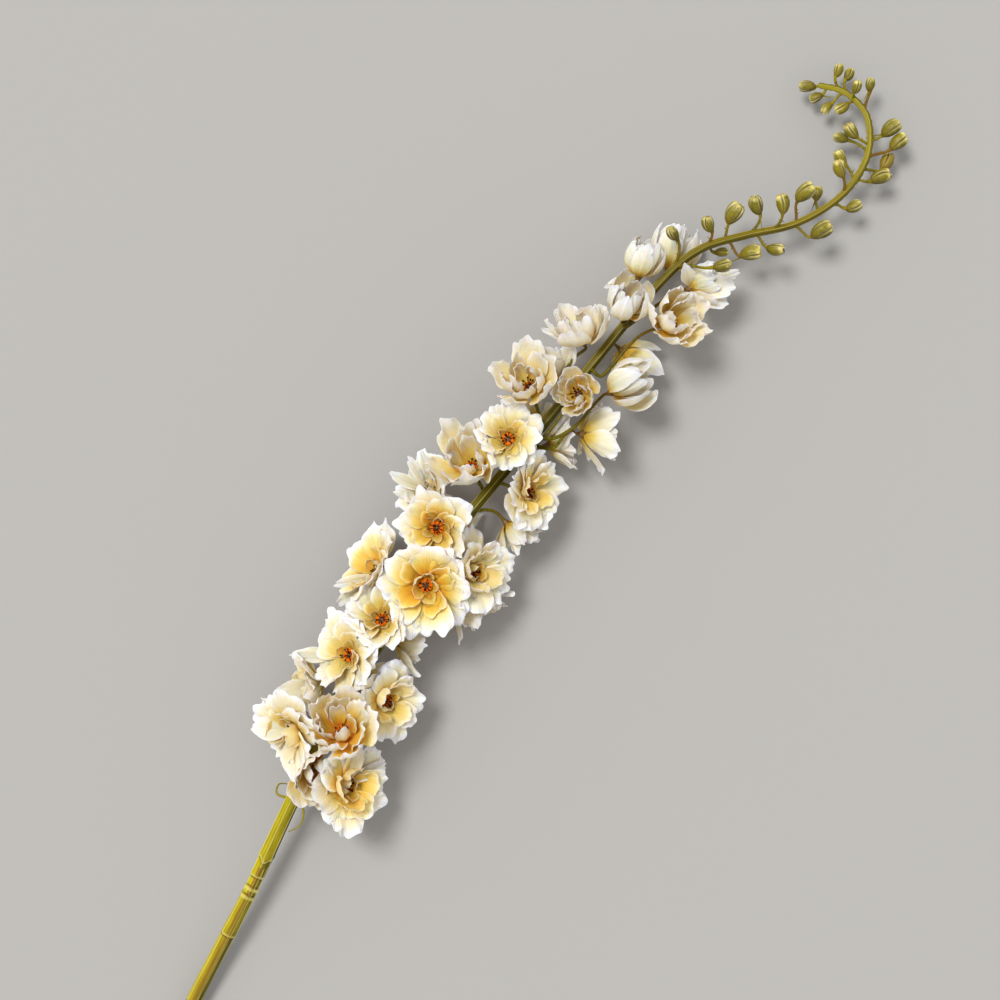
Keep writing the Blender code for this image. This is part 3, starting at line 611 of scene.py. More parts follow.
petalShape = {
    "clawEnd": 0.6,  # where the claw has widened into the blade
    "fan": (0.9, 0.12),  # how wide the veins spread, and how far under the root they meet
    "leastRadius": 0.0012,
    "usualRuffle": 0.0016,
    "edgeWaves": ((6, 0.035), (13, 0.028)),  # how often round the fan, and how deep
    "faceWaves": ((6, 0.8), (11, 0.7), (19, 0.4)),
    "notch": (0.10, 0.10),  # width and depth
    "tip": (0.3, 0.16),  # width and length of a pointed petal's tip
    "crease": (0.0003, 0.0009),
    "creaseWidth": 0.12,
    "sway": 0.0009,
    "rimRoll": 0.9,
    "rimBand": (0.72, 0.28),
}


def ripples(fan, waves, phases):
    return sum(size * np.sin(count * fan + phase) for (count, size), phase in zip(waves, phases))


def petalGrid(form, middle, draw, line):
    # A round blade on a narrow claw, laid on the surface that its middle line sweeps round the axis
    p = petalShape
    t, radius, height, slope = line
    a, b = np.meshgrid(np.linspace(-1, 1, form["rows"]), np.linspace(-1, 1, form["columns"]), indexing="ij")
    x = b * np.sqrt(1 - a * a / 2)
    y = a * np.sqrt(1 - b * b / 2)
    edge = np.sqrt(x * x + y * y)
    u = (y + 1) / 2
    grow = np.clip(u / p["clawEnd"], 0, 1)
    shape = form["claw"] + (1 - form["claw"]) * grow * grow * (3 - 2 * grow)
    fan = np.arctan2(x * shape * p["fan"][0], u + p["fan"][1])
    waves = [draw.uniform(0, 2 * math.pi) for _ in range(7)]
    notch = draw.uniform(-0.5, 0.5)
    notched = p["notch"][1] * hump(fan, notch, p["notch"][0])
    ragged = form["ruffle"] / p["usualRuffle"] * (ripples(fan, p["edgeWaves"], waves[:2]) - notched)
    far = np.clip((u - 0.5) / 0.5, 0, 1)
    point = form["point"] * draw.uniform(0.4, 1.6)
    x = x * shape * (1 + ragged * edge**4) * (1 - point * far**1.5)
    u = np.clip(u * (1 + ragged * edge**4), 0, 1.1) + p["tip"][1] * point * hump(x, 0, p["tip"][0]) * far**2
    r = form["foot"] + np.interp(u, t, radius)
    h = form["height"] + np.interp(u, t, height)
    s = np.interp(u, t, slope)
    beyond = np.maximum(u - 1, 0) * form["size"]
    r = np.maximum(r + beyond * np.sin(s), p["leastRadius"])
    h = h + beyond * np.cos(s)
    half = x * form["across"] / 2 / r
    turn = middle + form["wrap"] * np.tanh(half / form["wrap"])
    spread = np.minimum(2.5 * u, 1)
    crease = draw.uniform(*p["crease"])
    strength = form["ruffle"] * (edge**3 * 0.8 + 0.2) * np.clip(u, 0, 1.1)
    start, band = p["rimBand"]
    lift = form["tilt"] * x * spread + form["cup"] * x * x * spread
    lift = lift - crease * hump(x, 0, p["creaseWidth"]) * np.sin(np.clip(u, 0, 1) * math.pi) ** 0.7
    lift = lift + strength * ripples(fan, p["faceWaves"], waves[2:])
    lift = lift + p["sway"] * np.sin(2.0 * x + 2 * u + waves[5]) * u
    lift = lift - (form["ruffle"] * p["rimRoll"] * np.clip((edge - start) / band, 0, 1) ** 2
                   * (0.5 + 0.5 * np.sin(waves[6])))
    out = np.stack((np.cos(turn), np.sin(turn), np.zeros_like(turn)), axis=-1)
    top = np.array((0.0, 0.0, 1.0))
    normals = -out * np.cos(s)[..., None] + top * np.sin(s)[..., None]
    points = out * r[..., None] + top * h[..., None] + normals * lift[..., None]
    return points, fan, u, edge, r


def gridNormals(points):
    normals = np.cross(np.gradient(points, axis=0), np.gradient(points, axis=1))
    return normals / np.maximum(np.linalg.norm(normals, axis=-1, keepdims=True), 1e-12)


def press(points, planes, axis):
    # Neighbours push a petal back, and it rises along the bloom's axis as it goes
    knee = bloomPress["knee"]
    for _ in range(bloomPress["rounds"]):
        for at, normal in planes:
            depth = (points - at) @ normal + knee
            most = max(float(depth.max()), knee)
            moved = np.where(depth > 0, depth * (1 - knee / most), 0.0)[..., None]
            rise = axis - normal * (axis @ normal)
            points = points - moved * normal + moved * rise * bloomPress["raise"]
    return points


def bloomMiddle(row):
    ahead = np.interp(row[6], (0, 1), bloomPress["ahead"])
    return np.array(row[:3]) + direction(row[3], row[4]) * row[5] * ahead


def bloomPlanes(index, curve):
    p = bloomPress
    own = blooms[index]
    here, radius = bloomMiddle(own), own[5] / 2
    planes = []
    for k, other in enumerate(blooms):
        there, reach = bloomMiddle(other), other[5] / 2
        gap = np.linalg.norm(there - here)
        if k == index or gap > p["reach"] * (radius + reach):
            continue
        normal = (there - here) / gap
        share = (gap * gap + radius * radius - reach * reach) / (2 * gap)
        planes.append((here + normal * (share - p["clearance"]), normal))
    for bud in buds:
        there = np.array(bud[:3])
        gap = np.linalg.norm(there - here)
        if gap < radius + bud[3]:
            normal = (there - here) / gap
            planes.append((there - normal * p["budShare"] * bud[3], normal))
    near = curve[nearest(curve, own[:3])]
    inward = unit(near - np.array(own[:3]))
    planes.append((near - inward * (p["stemRadius"] + p["stemClearance"]), inward))
    return planes


def keepInHeight(points):
    # Petals bend away from the table, and at the top from the height of the whole
    least, bendBelow = heightRoom["least"], heightRoom["bendBelow"]
    give = heightRoom["give"] * heightRoom["spare"]
    crown = cadBox[1][2] - heightRoom["spare"]
    high = points[..., 2]
    room = bendBelow - least
    bottom = least + room * np.exp((np.minimum(high, bendBelow) - bendBelow) / room)
    top = crown + give * (1 - np.exp(-np.maximum(high - crown, 0) / give))
    points[..., 2] = np.where(high < bendBelow, bottom, np.where(high > crown, top, high))
    return points


def sizedWhorl(name, number, across, opening, longest):
    kept = ("petals", "slopes")
    form = {key: value if key in kept else mixed(value, opening) for key, value in whorlForms[name].items()}
    form["slopes"] = [mixed(values, opening) for values in zip(*form["slopes"])]
    form["petals"] = form["petals"][1] if opening > halfOpen else form["petals"][0]
    form["narrow"] = name == "cup"
    ruffle = np.interp(across, (0.035, 0.065), (0.65, 1.0))
    if number in bowlForm["blooms"]:
        form["slopes"] = bowlForm["slopes"][name]
        form["petals"] = bowlForm["petals"][name]
        form["width"] *= bowlForm["wider"]
        form["point"] *= bowlForm["point"]
        ruffle *= bowlForm["ruffle"]
    form["ruffle"] *= ruffle
    if number in foldedForm["blooms"] and name in foldedForm["slopes"]:
        form["slopes"] = foldedForm["slopes"][name]
        form["length"] *= foldedForm["longer"]
        form["width"] *= foldedForm["wider"]
    if form["narrow"]:
        form["foot"] *= min(1.0, across / 0.055)
    form["tilt"] *= across
    form["across"] = form["width"] * across
    form["size"] = form["length"] * longest
    return form


def outerLength(number, across, opening):
    # The length that makes a bloom as wide as it should be
    outer = whorlForms["outer"]
    slopes = [mixed(values, opening) for values in zip(*outer["slopes"])]
    if number in bowlForm["blooms"]:
        slopes = bowlForm["slopes"]["outer"]
    return (across / 2 - outer["foot"]) / float(spine(slopes, 1.0)[1].max())


def extraPetal(tip, seat):
    # A petal whose middle line ends at a given tip and whose face is turned up
    away = np.array(tip[:3]) - seat
    ahead = unit(away)
    above = unit(np.array((0.0, 0.0, 1.0)) - ahead * ahead[2])
    lean = math.radians(extraForm["lean"])
    axis = above * math.sin(lean) + ahead * math.cos(lean)
    side, up = squareAxes(axis)
    slopes = [extraForm["lean"] + extraForm["bow"] * k for k in (-1, -0.5, 0, 0.5, 1)]
    form = {**extraForm, "size": np.linalg.norm(away), "across": tip[3], "slopes": slopes,
            "point": 0.12 if tip[3] < 0.012 else 0.2}
    return form, math.atan2(ahead @ up, ahead @ side), np.array((side, up, axis))


def petalWarmth(form, number, u, edge, r, across, opening):
    # Orange in the throat, cream in the blade, white at the rim
    p = petalTones
    deep = warmBlooms.get(number, p["usualDeep"])
    blade = p["blade"] * (1 - np.clip((u - 0.6) / 0.4, 0, 1) ** 1.5)
    if "petals" not in form:
        return blade * 0.6 + 0.4 * np.exp(-u / 0.25) - 0.15 * edge**6
    if number in bowlForm["blooms"]:
        return 0.20 + 0.66 * hump(u, 0, 0.5) * deep - 0.16 * np.clip(u, 0, 1) ** 4 - 0.12 * edge**6
    if form["narrow"] and opening > halfOpen:
        return 0.86 - 0.40 * u - 0.08 * edge**8
    spread = np.clip(1 - (r / (across * p["spreadEnd"]) - 0.15) / 0.85, 0.0, 1.0)
    pit = p["pit"] * hump(r, 0, p["pitRadius"], 3)
    opened = np.maximum(np.maximum(spread * deep, pit), blade)
    folded = blade * (0.5 + 0.6 * deep) + 0.6 * hump(u, 0, p["root"])
    share = np.interp(opening, (0.25, 0.6), (0, 1))
    return folded + (opened - folded) * share - p["rim"] * edge**6


def stance(index):
    # A bloom's seat, its own axes, and its width and opening, as it stands in the scene
    x, y, z, heading, lift, across, opening, _ = blooms[index]
    heading, lift, across, opening = turnedBlooms.get(index + 1, (heading, lift, across, opening))
    axis = direction(heading, lift)
    return np.array((x, y, z)), np.array((*squareAxes(axis), axis)), across, opening


# The little foot that carries the petals, from its stalk up
receptacle = {"heights": (-0.0032, -0.0022, -0.0008, 0.0008, 0.0022),
              "radii": (0.0014, 0.0019, 0.0024, 0.0028, 0.0024), "sides": 12}


def makeBloom(index, curve, materials):
    number = index + 1
    seat, around, across, opening = stance(index)
    axis = around[2]
    planes = bloomPlanes(index, curve)
    draw = random.Random(100 + index)
    start = math.radians(blooms[index][7])
    longest = outerLength(number, across, opening)
    loose = np.interp(opening, (0.2, 0.6), (0.35, 1.0))
    petals = []
    for ring, name in enumerate(whorlForms):
        form = sizedWhorl(name, number, across, opening, longest)
        for k in range(form["petals"]):
            middle = start + ring * math.pi / 5 + 2 * math.pi * k / form["petals"] + draw.uniform(-0.1, 0.1)
            petals.append(({**form, "across": form["across"] * draw.uniform(0.85, 1.12)}, middle, None))
    for tip in extraPetals.get(number, ()):
        petals.append(extraPetal(tip, seat))
    mould = Mould()
    spots = cells(len(petals) + 1)
    for (form, middle, own), cell in zip(petals, spots):
        lean = np.linspace(draw.uniform(-5, 5), draw.uniform(-14, 14), 5) * form["loose"] * loose
        length = form["size"] * (1 + form["loose"] * draw.uniform(-0.1, 0.05))
        line = spine(np.array(form["slopes"]) + lean, length)
        points, fan, u, edge, r = petalGrid(form, middle, draw, line)
        points = points @ (around if own is None else own) + seat
        if own is None:
            points = press(points, planes, axis)
        points = keepInHeight(points)
        warmth = petalWarmth(form, number, u, edge, r, across, opening)
        root = (0.31 + 0.2 * (1 - opening)) * hump(u, 0, petalTones["root"])
        behind = warmth * 0.55 + 0.05 + root - 0.08 * edge**4
        marked = {"along": u, "fan": fan, "edge": edge**4, "chance": draw.random(),
                  "warmth": np.stack((warmth, behind))}
        mould.blade(points, gridNormals(points), petalThickness * (1 + form["rim"] * edge**6), marked, cell)
    mould.tube([seat + axis * h for h in receptacle["heights"]], receptacle["radii"], receptacle["sides"],
               {"along": 0.0, "fan": 0.0, "edge": 0.0, "chance": 0.0, "warmth": petalTones["calyx"]},
               spots[-1], slot=1)
    made = mould.build(f"petals_{number:02d}", materials)
    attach(made, "root")
    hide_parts(f"bloom_{number:02d}")


# The dish is given from its edge underneath, over its brim, to its middle
heartForm = {"count": (9, 11), "length": (0.0038, 0.0060), "spread": (20, 68), "bare": (22,),
             "thread": 0.00026, "threadRings": 8, "anther": 0.00056,
             "antherHeights": (-1.1, -0.8, 0.0, 0.9, 1.2), "antherRadii": (0.3, 0.75, 1.0, 0.7, 0.25),
             "discRadius": 0.0044, "usualWidth": 0.055,
             "heights": (0.0002, 0.0008, 0.0016, 0.0022, 0.0020, 0.0014, 0.0011, 0.0010),
             "rounds": (0.45, 0.80, 0.96, 1.0, 0.90, 0.62, 0.30, 0.05),
             "brim": (0.6, 0.8, 0.9, 1.0, 0.95, 0.5, 0.1, 0.0), "dark": (0, 0, 0, 0, 0, 0.0, 0.25, 0.6)}


def makeHeart(index, materials):
    # An orange dish with dark stamens
    f = heartForm
    seat, (side, up, axis), across, _ = stance(index)
    draw = random.Random(300 + index)
    mould = Mould()
    count = draw.randint(*f["count"])
    spots = cells(count * 2 + 1)
    wide = f["discRadius"] * min(1.0, across / f["usualWidth"])
    mould.tube([seat + axis * h for h in f["heights"]], wide * np.array(f["rounds"]), 20,
               {"dark": f["dark"], "brim": f["brim"]}, spots[0])
    rings = f["threadRings"]
    for k in range(count):
        a = 2 * math.pi * (k + draw.uniform(-0.35, 0.35)) / count
        lean = math.radians(draw.uniform(*f["spread"]))
        out = outward(side, up, a)
        length = draw.uniform(*f["length"])
        root = seat + axis * 0.0010 + out * 0.0004
        tip = root + (axis * math.cos(lean) + out * math.sin(lean)) * length
        bend = root + axis * length * 0.6 + out * 0.0004
        path = bezier(root, root * 0.4 + bend * 0.6, bend * 0.4 + tip * 0.6, tip, rings)
        mould.tube(path, [f["thread"] * 1.4] + [f["thread"]] * (rings - 1), 5,
                   {"dark": np.linspace(0.75, 1.0, rings), "brim": 0.0}, spots[2 * k + 1])
        ahead = unit(path[-1] - path[-2])
        size = f["anther"] * draw.uniform(0.8, 1.25)
        beads = [tip + ahead * size * h for h in f["antherHeights"]]
        mould.tube(beads, [size * r for r in f["antherRadii"]], 7, {"dark": 1.0, "brim": 0.0},
                   spots[2 * k + 2])
    made = mould.build(f"stamens_{index + 1:02d}", materials)
    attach(made, "root")
    if blooms[index][6] > halfOpen:
        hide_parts(f"heart_{index + 1:02d}")


# The stem. Angles go round it from its left, in radians.
stemForm = {
    "route": (
        (-0.4027, -0.0529, 0.005), (-0.3444, -0.0393, 0.0125), (-0.2644, -0.0243, 0.025),
        (-0.1839, -0.0065, 0.036), (-0.1171, 0.0055, 0.041), (-0.0530, 0.0105, 0.042),
        (0.0110, 0.0145, 0.042), (0.0950, 0.0125, 0.041), (0.1511, 0.0115, 0.04),
        (0.2155, 0.0095, 0.038), (0.2488, 0.0025, 0.036), (0.2754, -0.0156, 0.033),
        (0.3021, -0.0368, 0.03), (0.3349, -0.0490, 0.027), (0.3659, -0.0471, 0.024),
        (0.3878, -0.0310, 0.021), (0.3923, -0.0097, 0.019), (0.3854, 0.0075, 0.018),
    ),
    "steps": 24, "radius": 0.0049, "tipRadius": 0.0016, "taperStart": 0.26, "taperPower": 0.8,
    # The lumpy end under the last buds
    "knobs": 0.0006, "knobGap": 0.0052, "knobStart": 0.87, "knobGrowth": 0.03,
    "nodes": (0.030, 0.077, 0.115, 0.144, 0.168), "nodeSwell": 0.0002, "nodeWidth": 0.004,
    "facets": 6, "flatness": 0.9, "sides": 54, "ringGap": 0.0021, "fineGap": 0.0006, "fineEnd": 0.205,
    # A slow sway, its radians over the whole stem, and the turn from one moulded length to the next
    "twist": (0.15, 7, 0.10),
    "collars": ((0.1395, 0.0011, 0.0003), (0.1458, 0.0011, 0.0003)),  # distance, width, height
    # The cut beyond each collar: distance, width of its shade, width and depth
    "collarCut": (0.0022, 0.0006, 0.0007, 0.0003),
    # Where one moulded length ends and the next begins, and how far its tongue reaches down over it
    "lines": ((0.0576, 0.001), (0.1100, 0.0), (0.1549, 0.0), (0.1690, 0.0035)),
    "lineWidth": 0.0006, "lip": 0.0004, "lipLength": 0.012, "tongue": (1.6, 0.55),  # angle, half width
    "lengthEnds": (0.0576, 0.1100, 0.1430, 0.1549, 0.1690),
    "rib": (0.03, 0.07, 0.10),  # height, and the widths of its form and its paint
    "groove": (0.62, 0.035, 0.09, 0.12),  # place from a flat's middle to its rib, depth, the same two widths
    # The sunken brown panel up the front of the lowest lengths: angle, half width and where it ends
    "panel": (1.62, 0.42, 0.1625), "panelDepth": 0.05, "panelRust": 0.55, "panelRim": (1.12, 0.07, 0.55),
    "litSide": 0.1,  # the side painted lighter, as if lit, with painted shade towards the far side
}


def stemRadius(share):
    f = stemForm
    left = np.clip((1 - share) / (1 - f["taperStart"]), 0.0, 1.0)
    return f["tipRadius"] + (f["radius"] - f["tipRadius"]) * left ** f["taperPower"]


def makeStem(curve, materials):
    # Long flats between raised ribs, in moulded lengths that turn a little against each other
    f = stemForm
    total = lengths(curve)[-1]
    fine = np.arange(0, f["fineEnd"], f["fineGap"])
    coarse = np.linspace(f["fineEnd"], total, int((total - f["fineEnd"]) / f["ringGap"]))
    reach = np.concatenate((fine, coarse))
    share = reach / total
    radii = stemRadius(share)
    for spot in f["nodes"]:
        radii = radii + f["nodeSwell"] * hump(reach, spot, f["nodeWidth"])
    lumpy = np.clip((share - f["knobStart"]) / f["knobGrowth"], 0, 1)
    radii = radii + f["knobs"] * lumpy * np.sin(math.pi * reach / f["knobGap"]) ** 2
    # Painted highlights and painted shade along the stem
    paintedHighlight = np.zeros(len(reach))
    dark = np.zeros(len(reach))
    beyond, shadeWidth, cutWidth, cut = f["collarCut"]
    # Each collar's raised ring is painted pale as a highlight, and the cut beyond it dark as painted shade
    for spot, width, height in f["collars"]:
        ring = hump(reach, spot, width, 4)
        radii = radii + height * ring
        paintedHighlight = np.maximum(paintedHighlight, 0.75 * ring)
        dark = np.maximum(dark, 0.9 * hump(reach - spot, beyond, shadeWidth))
        radii = radii - cut * hump(reach - spot, beyond, cutWidth)

    # From here on the values are for each point of each ring
    angle = (2 * math.pi * np.arange(f["sides"]) / f["sides"])[None]
    reach, paintedHighlight, dark = reach[:, None], paintedHighlight[:, None], dark[:, None]
    wide = f["lineWidth"]
    lip = 0.0
    # Each moulded line gets a painted highlight on the edge of its lip and painted shade just below it
    for spot, tongue in f["lines"]:
        past = reach - spot + tongue * hump(angle, *f["tongue"])
        lip = lip + f["lip"] * np.clip(past / wide, 0, 1) * np.exp(-np.maximum(past, 0) / f["lipLength"])
        paintedHighlight = np.maximum(paintedHighlight, 0.9 * hump(past, wide, wide))
        dark = np.maximum(dark, 0.85 * hump(past, -wide, wide))
    part = np.searchsorted(f["lengthEnds"], reach)
    sway, turning, step = f["twist"]
    twist = sway * np.sin(turning * share)[:, None] + step * part
    turns = (angle * f["facets"] / (2 * math.pi) + twist) % f["facets"]
    facet = np.floor(turns)
    across = np.abs(turns % 1 - 0.5) * 2  # 0 in the middle of a flat, 1 on a rib
    flat = math.cos(math.pi / f["facets"]) / np.cos(math.pi / f["facets"] * across)
    keep = f["flatness"] * np.clip(1.25 - share, 0.45, 1.0)[:, None]
    ribHeight, ribWidth, ribPaint = f["rib"]
    grooveAt, grooveDepth, grooveWidth, groovePaint = f["groove"]
    form = 1 - keep * (1 - flat) + ribHeight * keep * hump(across, 1, ribWidth)
    form = form - grooveDepth * keep * hump(across, grooveAt, grooveWidth) + lip / radii[:, None]
    middle = (facet + 0.5 - twist) * 2 * math.pi / f["facets"]
    # Painted light and shade: the flats and the side towards the lit side are painted lighter and the far
    # side darker, plus a tone that changes from flat to flat
    paintedLightAndTone = 0.6 * np.cos(middle - f["litSide"]) + 0.7 * np.cos(angle - f["litSide"])
    paintedLightAndTone = paintedLightAndTone + 0.25 * np.sin(2.4 * facet + 1.7 * part)
    at, half, end = f["panel"]
    panel = hump(angle, at, half, 6) * (reach < end)
    panel = panel * (1 - np.clip(paintedHighlight, 0, 1))
    form = form - f["panelDepth"] * panel
    # A painted highlight along the panel's far edge
    rimAt, rimWidth, rimPaint = f["panelRim"]
    side = hump(np.abs(angle - at), half * rimAt, rimWidth) * (reach < end)
    paintedHighlight = np.maximum(paintedHighlight, rimPaint * side * (angle > at))
    # The ribs get a painted highlight
    rib = hump(across, 1, ribPaint) * 0.8
    groove = hump(across, grooveAt, groovePaint) * (0.35 + 0.35 * np.sin(1.9 * facet + 1))

    mould = Mould()
    # The groove mark also carries the painted shade, and the rib mark the painted highlights
    mould.tube(pointsAt(curve, reach[:, 0]), radii, f["sides"],
               {"along": share, "groove": np.maximum(groove, dark), "rib": np.maximum(rib, paintedHighlight),
                "around": angle, "rust": f["panelRust"] * panel, "paintedLightAndTone": paintedLightAndTone}, (0.0, 0.0, 1.0), form=form)
    return mould.build("stemSkin", materials, 50)


stalkMarks = {"groove": 0.0, "rib": 0.0, "around": 0.0, "rust": 0.0, "paintedLightAndTone": 0.0}
stalkForm = {"radius": 0.00085, "sides": 9, "rings": 16, "lead": 0.7, "bend": (0.22, 0.38), "end": 0.003,
             "taper": (1.5, 1.1), "foot": 0.0015, "thorn": 0.0022, "thorns": 2,
             "thornRadii": (0.0005, 0.0003, 0.00008), "budRings": 14, "budReach": 0.12,
             "budTaper": ((0, 0.2, 0.8, 1), (1.9, 1.15, 1.05, 1.8))}
# Stalks that run up beside the stem before they leave it, by bloom
longStalks = {
    20: ((0.083, 0.005, 0.045), (0.088, -0.0022, 0.051), (0.0964, -0.0024, 0.056), (0.1036, -0.004, 0.052)),
    22: ((0.0772, 0.0128, 0.047), (0.0845, 0.008, 0.0475), (0.0978, 0.007, 0.0475), (0.1119, 0.007, 0.048)),
    24: ((0.088, 0.008, 0.0465), (0.093, 0.0016, 0.053), (0.1, -0.002, 0.058), (0.1118, -0.0052, 0.054),
         (0.126, -0.0055, 0.048)),
    25: ((0.1257, 0.019, 0.044), (0.1322, 0.0223, 0.046), (0.1421, 0.0234, 0.0455)),
    28: ((0.143, 0.0076, 0.0455), (0.1441, 0.0019, 0.045), (0.1555, 0.0009, 0.046), (0.1682, 0.0003, 0.046),
         (0.1805, -0.0017, 0.045)),
    29: ((0.1792, 0.009, 0.044), (0.1866, 0.0067, 0.045), (0.1994, 0.003, 0.044), (0.2127, -0.0009, 0.04)),
}


def stalkStart(point, curve):
    near = nearest(curve, point)
    back = np.linalg.norm(curve[near] - point) * stalkForm["lead"]
    reach = np.cumsum(np.linalg.norm(np.diff(curve[: near + 1][::-1], axis=0), axis=1))
    start = max(near - int(np.searchsorted(reach, back)), 1)
    return curve[start], unit(curve[start + 1] - curve[start - 1])


def stalkPath(end, facing, curve, count):
    root, along = stalkStart(end, curve)
    reach = np.linalg.norm(end - root)
    away = unit(end - root)
    first, last = stalkForm["bend"]
    return bezier(root, root + (along + away) * first * reach, end - facing * last * reach, end, count)


def addThorns(mould, path, draw, share, spots):
    f = stalkForm
    for _ in range(f["thorns"]):
        k = draw.randint(len(path) // 3, len(path) - 3)
        tangent = unit(path[k + 1] - path[k - 1])
        out = outward(*squareAxes(tangent), draw.uniform(0, 2 * math.pi))
        length = f["thorn"] * draw.uniform(0.7, 1.7)
        root = path[k] + out * f["radius"] * 0.4
        tip = root + unit(out + tangent * draw.uniform(0.2, 1.2)) * length
        mould.tube([root, root * 0.5 + tip * 0.5 + tangent * 0.0002, tip], f["thornRadii"], 5,
                   {**stalkMarks, "along": share}, next(spots))


def budStance(row):
    # A bud's foot, its axis and its length
    x, y, z, length, heading, lift = row
    axis = direction(heading, lift)
    return np.array((x, y, z)) - axis * length / 2, axis, length


def makeStalks(curve, materials):
    f = stalkForm
    draw = random.Random(41)
    total = lengths(curve)[-1]
    mould = Mould()
    spots = iter(cells(400))
    for index in range(len(blooms)):
        seat, (_, _, axis), *_ = stance(index)
        end = seat + axis * receptacle["heights"][0]
        if index + 1 in longStalks:
            route = longStalks[index + 1]
            path = smoothCurve([curve[nearest(curve, route[0])], *route, end - axis * f["end"], end], 5)
        else:
            path = np.vstack((stalkPath(end - axis * f["end"], axis, curve, f["rings"]), [end]))
        count = len(path)
        share = lengths(curve)[nearest(curve, path[0])] / total
        radii = f["radius"] * np.linspace(*f["taper"], count)
        radii[-1] = f["foot"]
        rust = np.linspace(-0.6, 1.0, count).clip(0, 1) * draw.uniform(0.2, 0.9)
        mould.tube(path, radii, f["sides"],
                   {**stalkMarks, "along": share * 0.8, "rust": rust, "around": np.arange(count) * 0.3},
                   next(spots))
        addThorns(mould, path, draw, share, spots)
    count = f["budRings"]
    radii = np.interp(np.linspace(0, 1, count), *f["budTaper"]) * f["radius"]
    for k, row in enumerate(buds):
        foot, axis, length = budStance(row)
        path = stalkPath(foot + axis * length * f["budReach"], axis, curve, count)
        share = 0.85 + 0.15 * k / len(buds)
        rust = draw.uniform(0.3, 0.7) if k % 4 == 1 else 0.0
        mould.tube(path, radii, f["sides"],
                   {**stalkMarks, "along": share, "around": np.arange(count) * 0.3, "rust": rust,
                    "paintedLightAndTone": np.linspace(-0.5, 0.5, count)}, next(spots))
        addThorns(mould, path, draw, share, spots)
    return mould.build("stalks", materials, 50)


budForm = {"width": 0.3395, "sides": 44, "rings": 27, "bend": 0.08, "dent": 0.08, "lobes": (3, 4, 4, 5),
           "shape": ((0.0, 0.06, 0.18, 0.4, 0.62, 0.8, 0.92, 0.98, 1.0),
                     (0.2, 0.40, 0.70, 0.95, 1.0, 0.92, 0.78, 0.62, 0.34)),
           "seam": (0.34, 0.20),  # depth and width
           "lip": (0.40, 0.14),  # place beside the seam and width
           "deepen": ((0, 0.15, 0.5, 0.85, 1), (0.05, 0.30, 0.6, 1.0, 1.0)),  # how the seams grow to the end
           "swell": 0.12, "uneven": 0.05, "flare": 0.36, "flareFrom": (0.82, 0.18), "lightFrom": (84, 50),
           "nibs": 2, "nibRadii": (0.0006, 0.0005, 0.00015),
           "spurEvery": 3, "spurLength": 0.8, "spurRadius": 0.0006, "spurRings": 7}


def makeBuds(materials):
    # Three to five lobes that meet in deep seams, blunt and a little hollow at the end
    f = budForm
    mould = Mould()
    spots = iter(cells(100))
    share = (1 - np.cos(np.linspace(0, math.pi, f["rings"]))) / 2
    broad = np.interp(share, *f["shape"])
    level = share[:, None]
    deep = np.interp(share, *f["deepen"])[:, None]
    angle = 2 * math.pi * np.arange(f["sides"]) / f["sides"]
    flareFrom, flareReach = f["flareFrom"]
    flare = f["flare"] * np.clip((level - flareFrom) / flareReach, 0, 1) ** 2
    for index, row in enumerate(buds):
        draw = random.Random(900 + index)
        foot, axis, length = budStance(row)
        lobes = draw.choice(f["lobes"])
        turn = draw.uniform(0, 2 * math.pi)
        wave = np.abs(np.sin(lobes / 2 * (angle + turn)))
        seam = hump(wave, 0, f["seam"][1])
        twisted = np.sin(3 * angle + 5 * level + 4 * turn)
        lobe = f["uneven"] * np.sin(2 * angle + 2 * turn) + f["uneven"] * twisted
        form = 1 + (f["swell"] * wave + lobe) * deep - f["seam"][0] * seam * deep
        form = form + flare * (wave - 0.5)
        side, up = squareAxes(axis)
        out = np.cos(angle)[:, None] * side + np.sin(angle)[:, None] * up
        bow = length * f["bend"] * outward(side, up, 3 * turn)
        path = np.array([foot + axis * length * s + bow * math.sin(math.pi * s) for s in share])
        path[-1] -= axis * length * f["dent"]
        # Each bud is painted lighter on the side facing lightFrom and darker, as painted shade, on the far
        # side
        mould.tube(path, broad * f["width"] * length, f["sides"],
                   {"along": share, "groove": seam * deep, "rib": hump(wave, *f["lip"]) * deep**2,
                    "chance": draw.random(), "paintedLightAndTone": (out @ direction(*f["lightFrom"]))[None]},
                   next(spots), form=form)
        for k in range(f["nibs"]):
            way = outward(side, up, turn + 2.1 * k)
            tall = 1.03 + 0.05 * draw.random()
            nib = [foot + axis * length * height + way * length * aside
                   for height, aside in ((0.9, 0.1), (1.0, 0.12), (tall, 0.08))]
            mould.tube(nib, f["nibRadii"], 6,
                       {"along": 1.0, "groove": 0.0, "rib": 0.4, "chance": 0.3, "paintedLightAndTone": 0.5}, next(spots))
    return mould.build("budHeads", materials, 70)


shootForm = {
    "routes": (
        ((-0.195, -0.0078, 0.034), (-0.198, -0.018, 0.033), (-0.208, -0.0235, 0.031), (-0.217, -0.02, 0.029)),
        ((-0.198, -0.0083, 0.034), (-0.201, 0.001, 0.034), (-0.196, 0.004, 0.03), (-0.193, 0.0, 0.026)),
    ),
    "radius": 0.0008, "taper": (1.2, 0.4), "sides": 8,
}


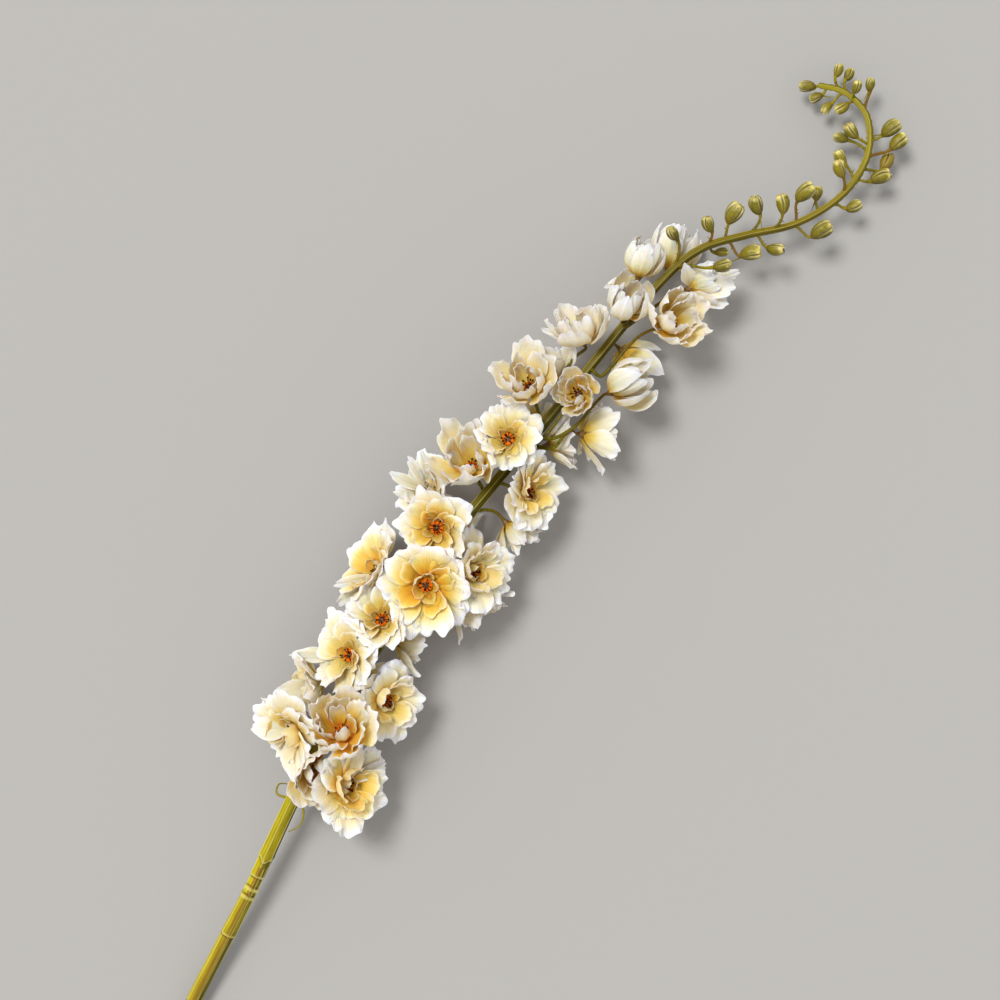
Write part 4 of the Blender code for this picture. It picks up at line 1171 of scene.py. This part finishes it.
def makeBracts(materials):
    # The two curled shoots near the lowest blooms, and the spurs of the larger buds
    f = shootForm
    mould = Mould()
    spots = iter(cells(40))
    for route in f["routes"]:
        path = smoothCurve(route, 8)
        radii = np.linspace(*f["taper"], len(path)) * f["radius"]
        mould.tube(path, radii, f["sides"],
                   {**stalkMarks, "along": 0.2, "around": np.arange(len(path)) * 0.2}, next(spots))
    rings = budForm["spurRings"]
    for index, row in enumerate(buds):
        if index % budForm["spurEvery"]:
            continue
        foot, axis, length = budStance(row)
        out = outward(*squareAxes(axis), random.Random(500 + index).uniform(0, 2 * math.pi))
        root = foot + axis * length * 0.2
        tip = foot + unit(out * 0.7 - axis) * length * budForm["spurLength"]
        path = bezier(root, root * 0.7 + tip * 0.3, root * 0.3 + tip * 0.7 + out * 0.001, tip, rings)
        radii = budForm["spurRadius"] * np.linspace(1.0, 0.3, rings)
        mould.tube(path, radii, 7, {**stalkMarks, "along": 0.95}, next(spots))
    return mould.build("bracts", materials, 50)


# The studio
studio = {"floor": (0.335, 0.335, 0.335), "floorReach": 4, "ambient": 0.80,
          "ambientColour": (1.0, 0.965, 0.92), "lens": 83.08, "cameraAt": (0.040, 0.0045, 1.542), "roll": -52,
          "keyHeading": 84, "keyLift": 66, "keyPower": 2.6, "keySoftness": 18,
          "keyColour": (1.0, 0.975, 0.93)}


def makeStudio():
    s = studio
    scene = bpy.context.scene
    mesh = bpy.data.meshes.new("studioFloor")
    far = s["floorReach"]
    mesh.from_pydata([(-far, -far, 0), (far, -far, 0), (far, far, 0), (-far, far, 0)], [], [(0, 1, 2, 3)])
    floor = bpy.data.objects.new("studioFloor", mesh)
    scene.collection.objects.link(floor)
    mesh.materials.append(newMaterial("studioFloor", {"Roughness": 0.85, "Base Color": (*s["floor"], 1)})[0])
    key = bpy.data.lights.new("key", "SUN")
    key.energy = s["keyPower"]
    key.angle = math.radians(s["keySoftness"])
    key.color = s["keyColour"]
    lamp = bpy.data.objects.new("key", key)
    shine = Vector(-direction(s["keyHeading"], s["keyLift"]))
    lamp.rotation_euler = shine.to_track_quat("-Z", "Y").to_euler()
    scene.collection.objects.link(lamp)
    world = bpy.data.worlds.new("studio")
    world.use_nodes = True
    sky = world.node_tree.nodes["Background"]
    sky.inputs[0].default_value = (*s["ambientColour"], 1)
    sky.inputs[1].default_value = s["ambient"]
    scene.world = world
    data = bpy.data.cameras.new("camera")
    data.sensor_width = 36
    data.lens = s["lens"]
    camera = bpy.data.objects.new("camera", data)
    camera.matrix_world = Matrix.Translation(s["cameraAt"]) @ Matrix.Rotation(math.radians(s["roll"]), 4, "Z")
    scene.collection.objects.link(camera)
    scene.camera = camera
    scene.view_settings.view_transform = "Standard"


makeStudio()
print("studio ready")

curve = smoothCurve(stemForm["route"], stemForm["steps"])
petalMaterials = [petalMaterial(), calyxMaterial()]
stemMaterials = [stemMaterial()]
for made in (makeStem(curve, stemMaterials), makeStalks(curve, stemMaterials),
             makeBracts(stemMaterials), makeBuds([budMaterial()])):
    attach(made, "root")
    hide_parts("stem")
print("stem, stalks and buds made")

heartMaterials = [heartMaterial()]
for index, row in enumerate(blooms):
    makeBloom(index, curve, petalMaterials)
    if row[6] > halfOpen or index + 1 in heartForm["bare"]:
        makeHeart(index, heartMaterials)
print("blooms made")
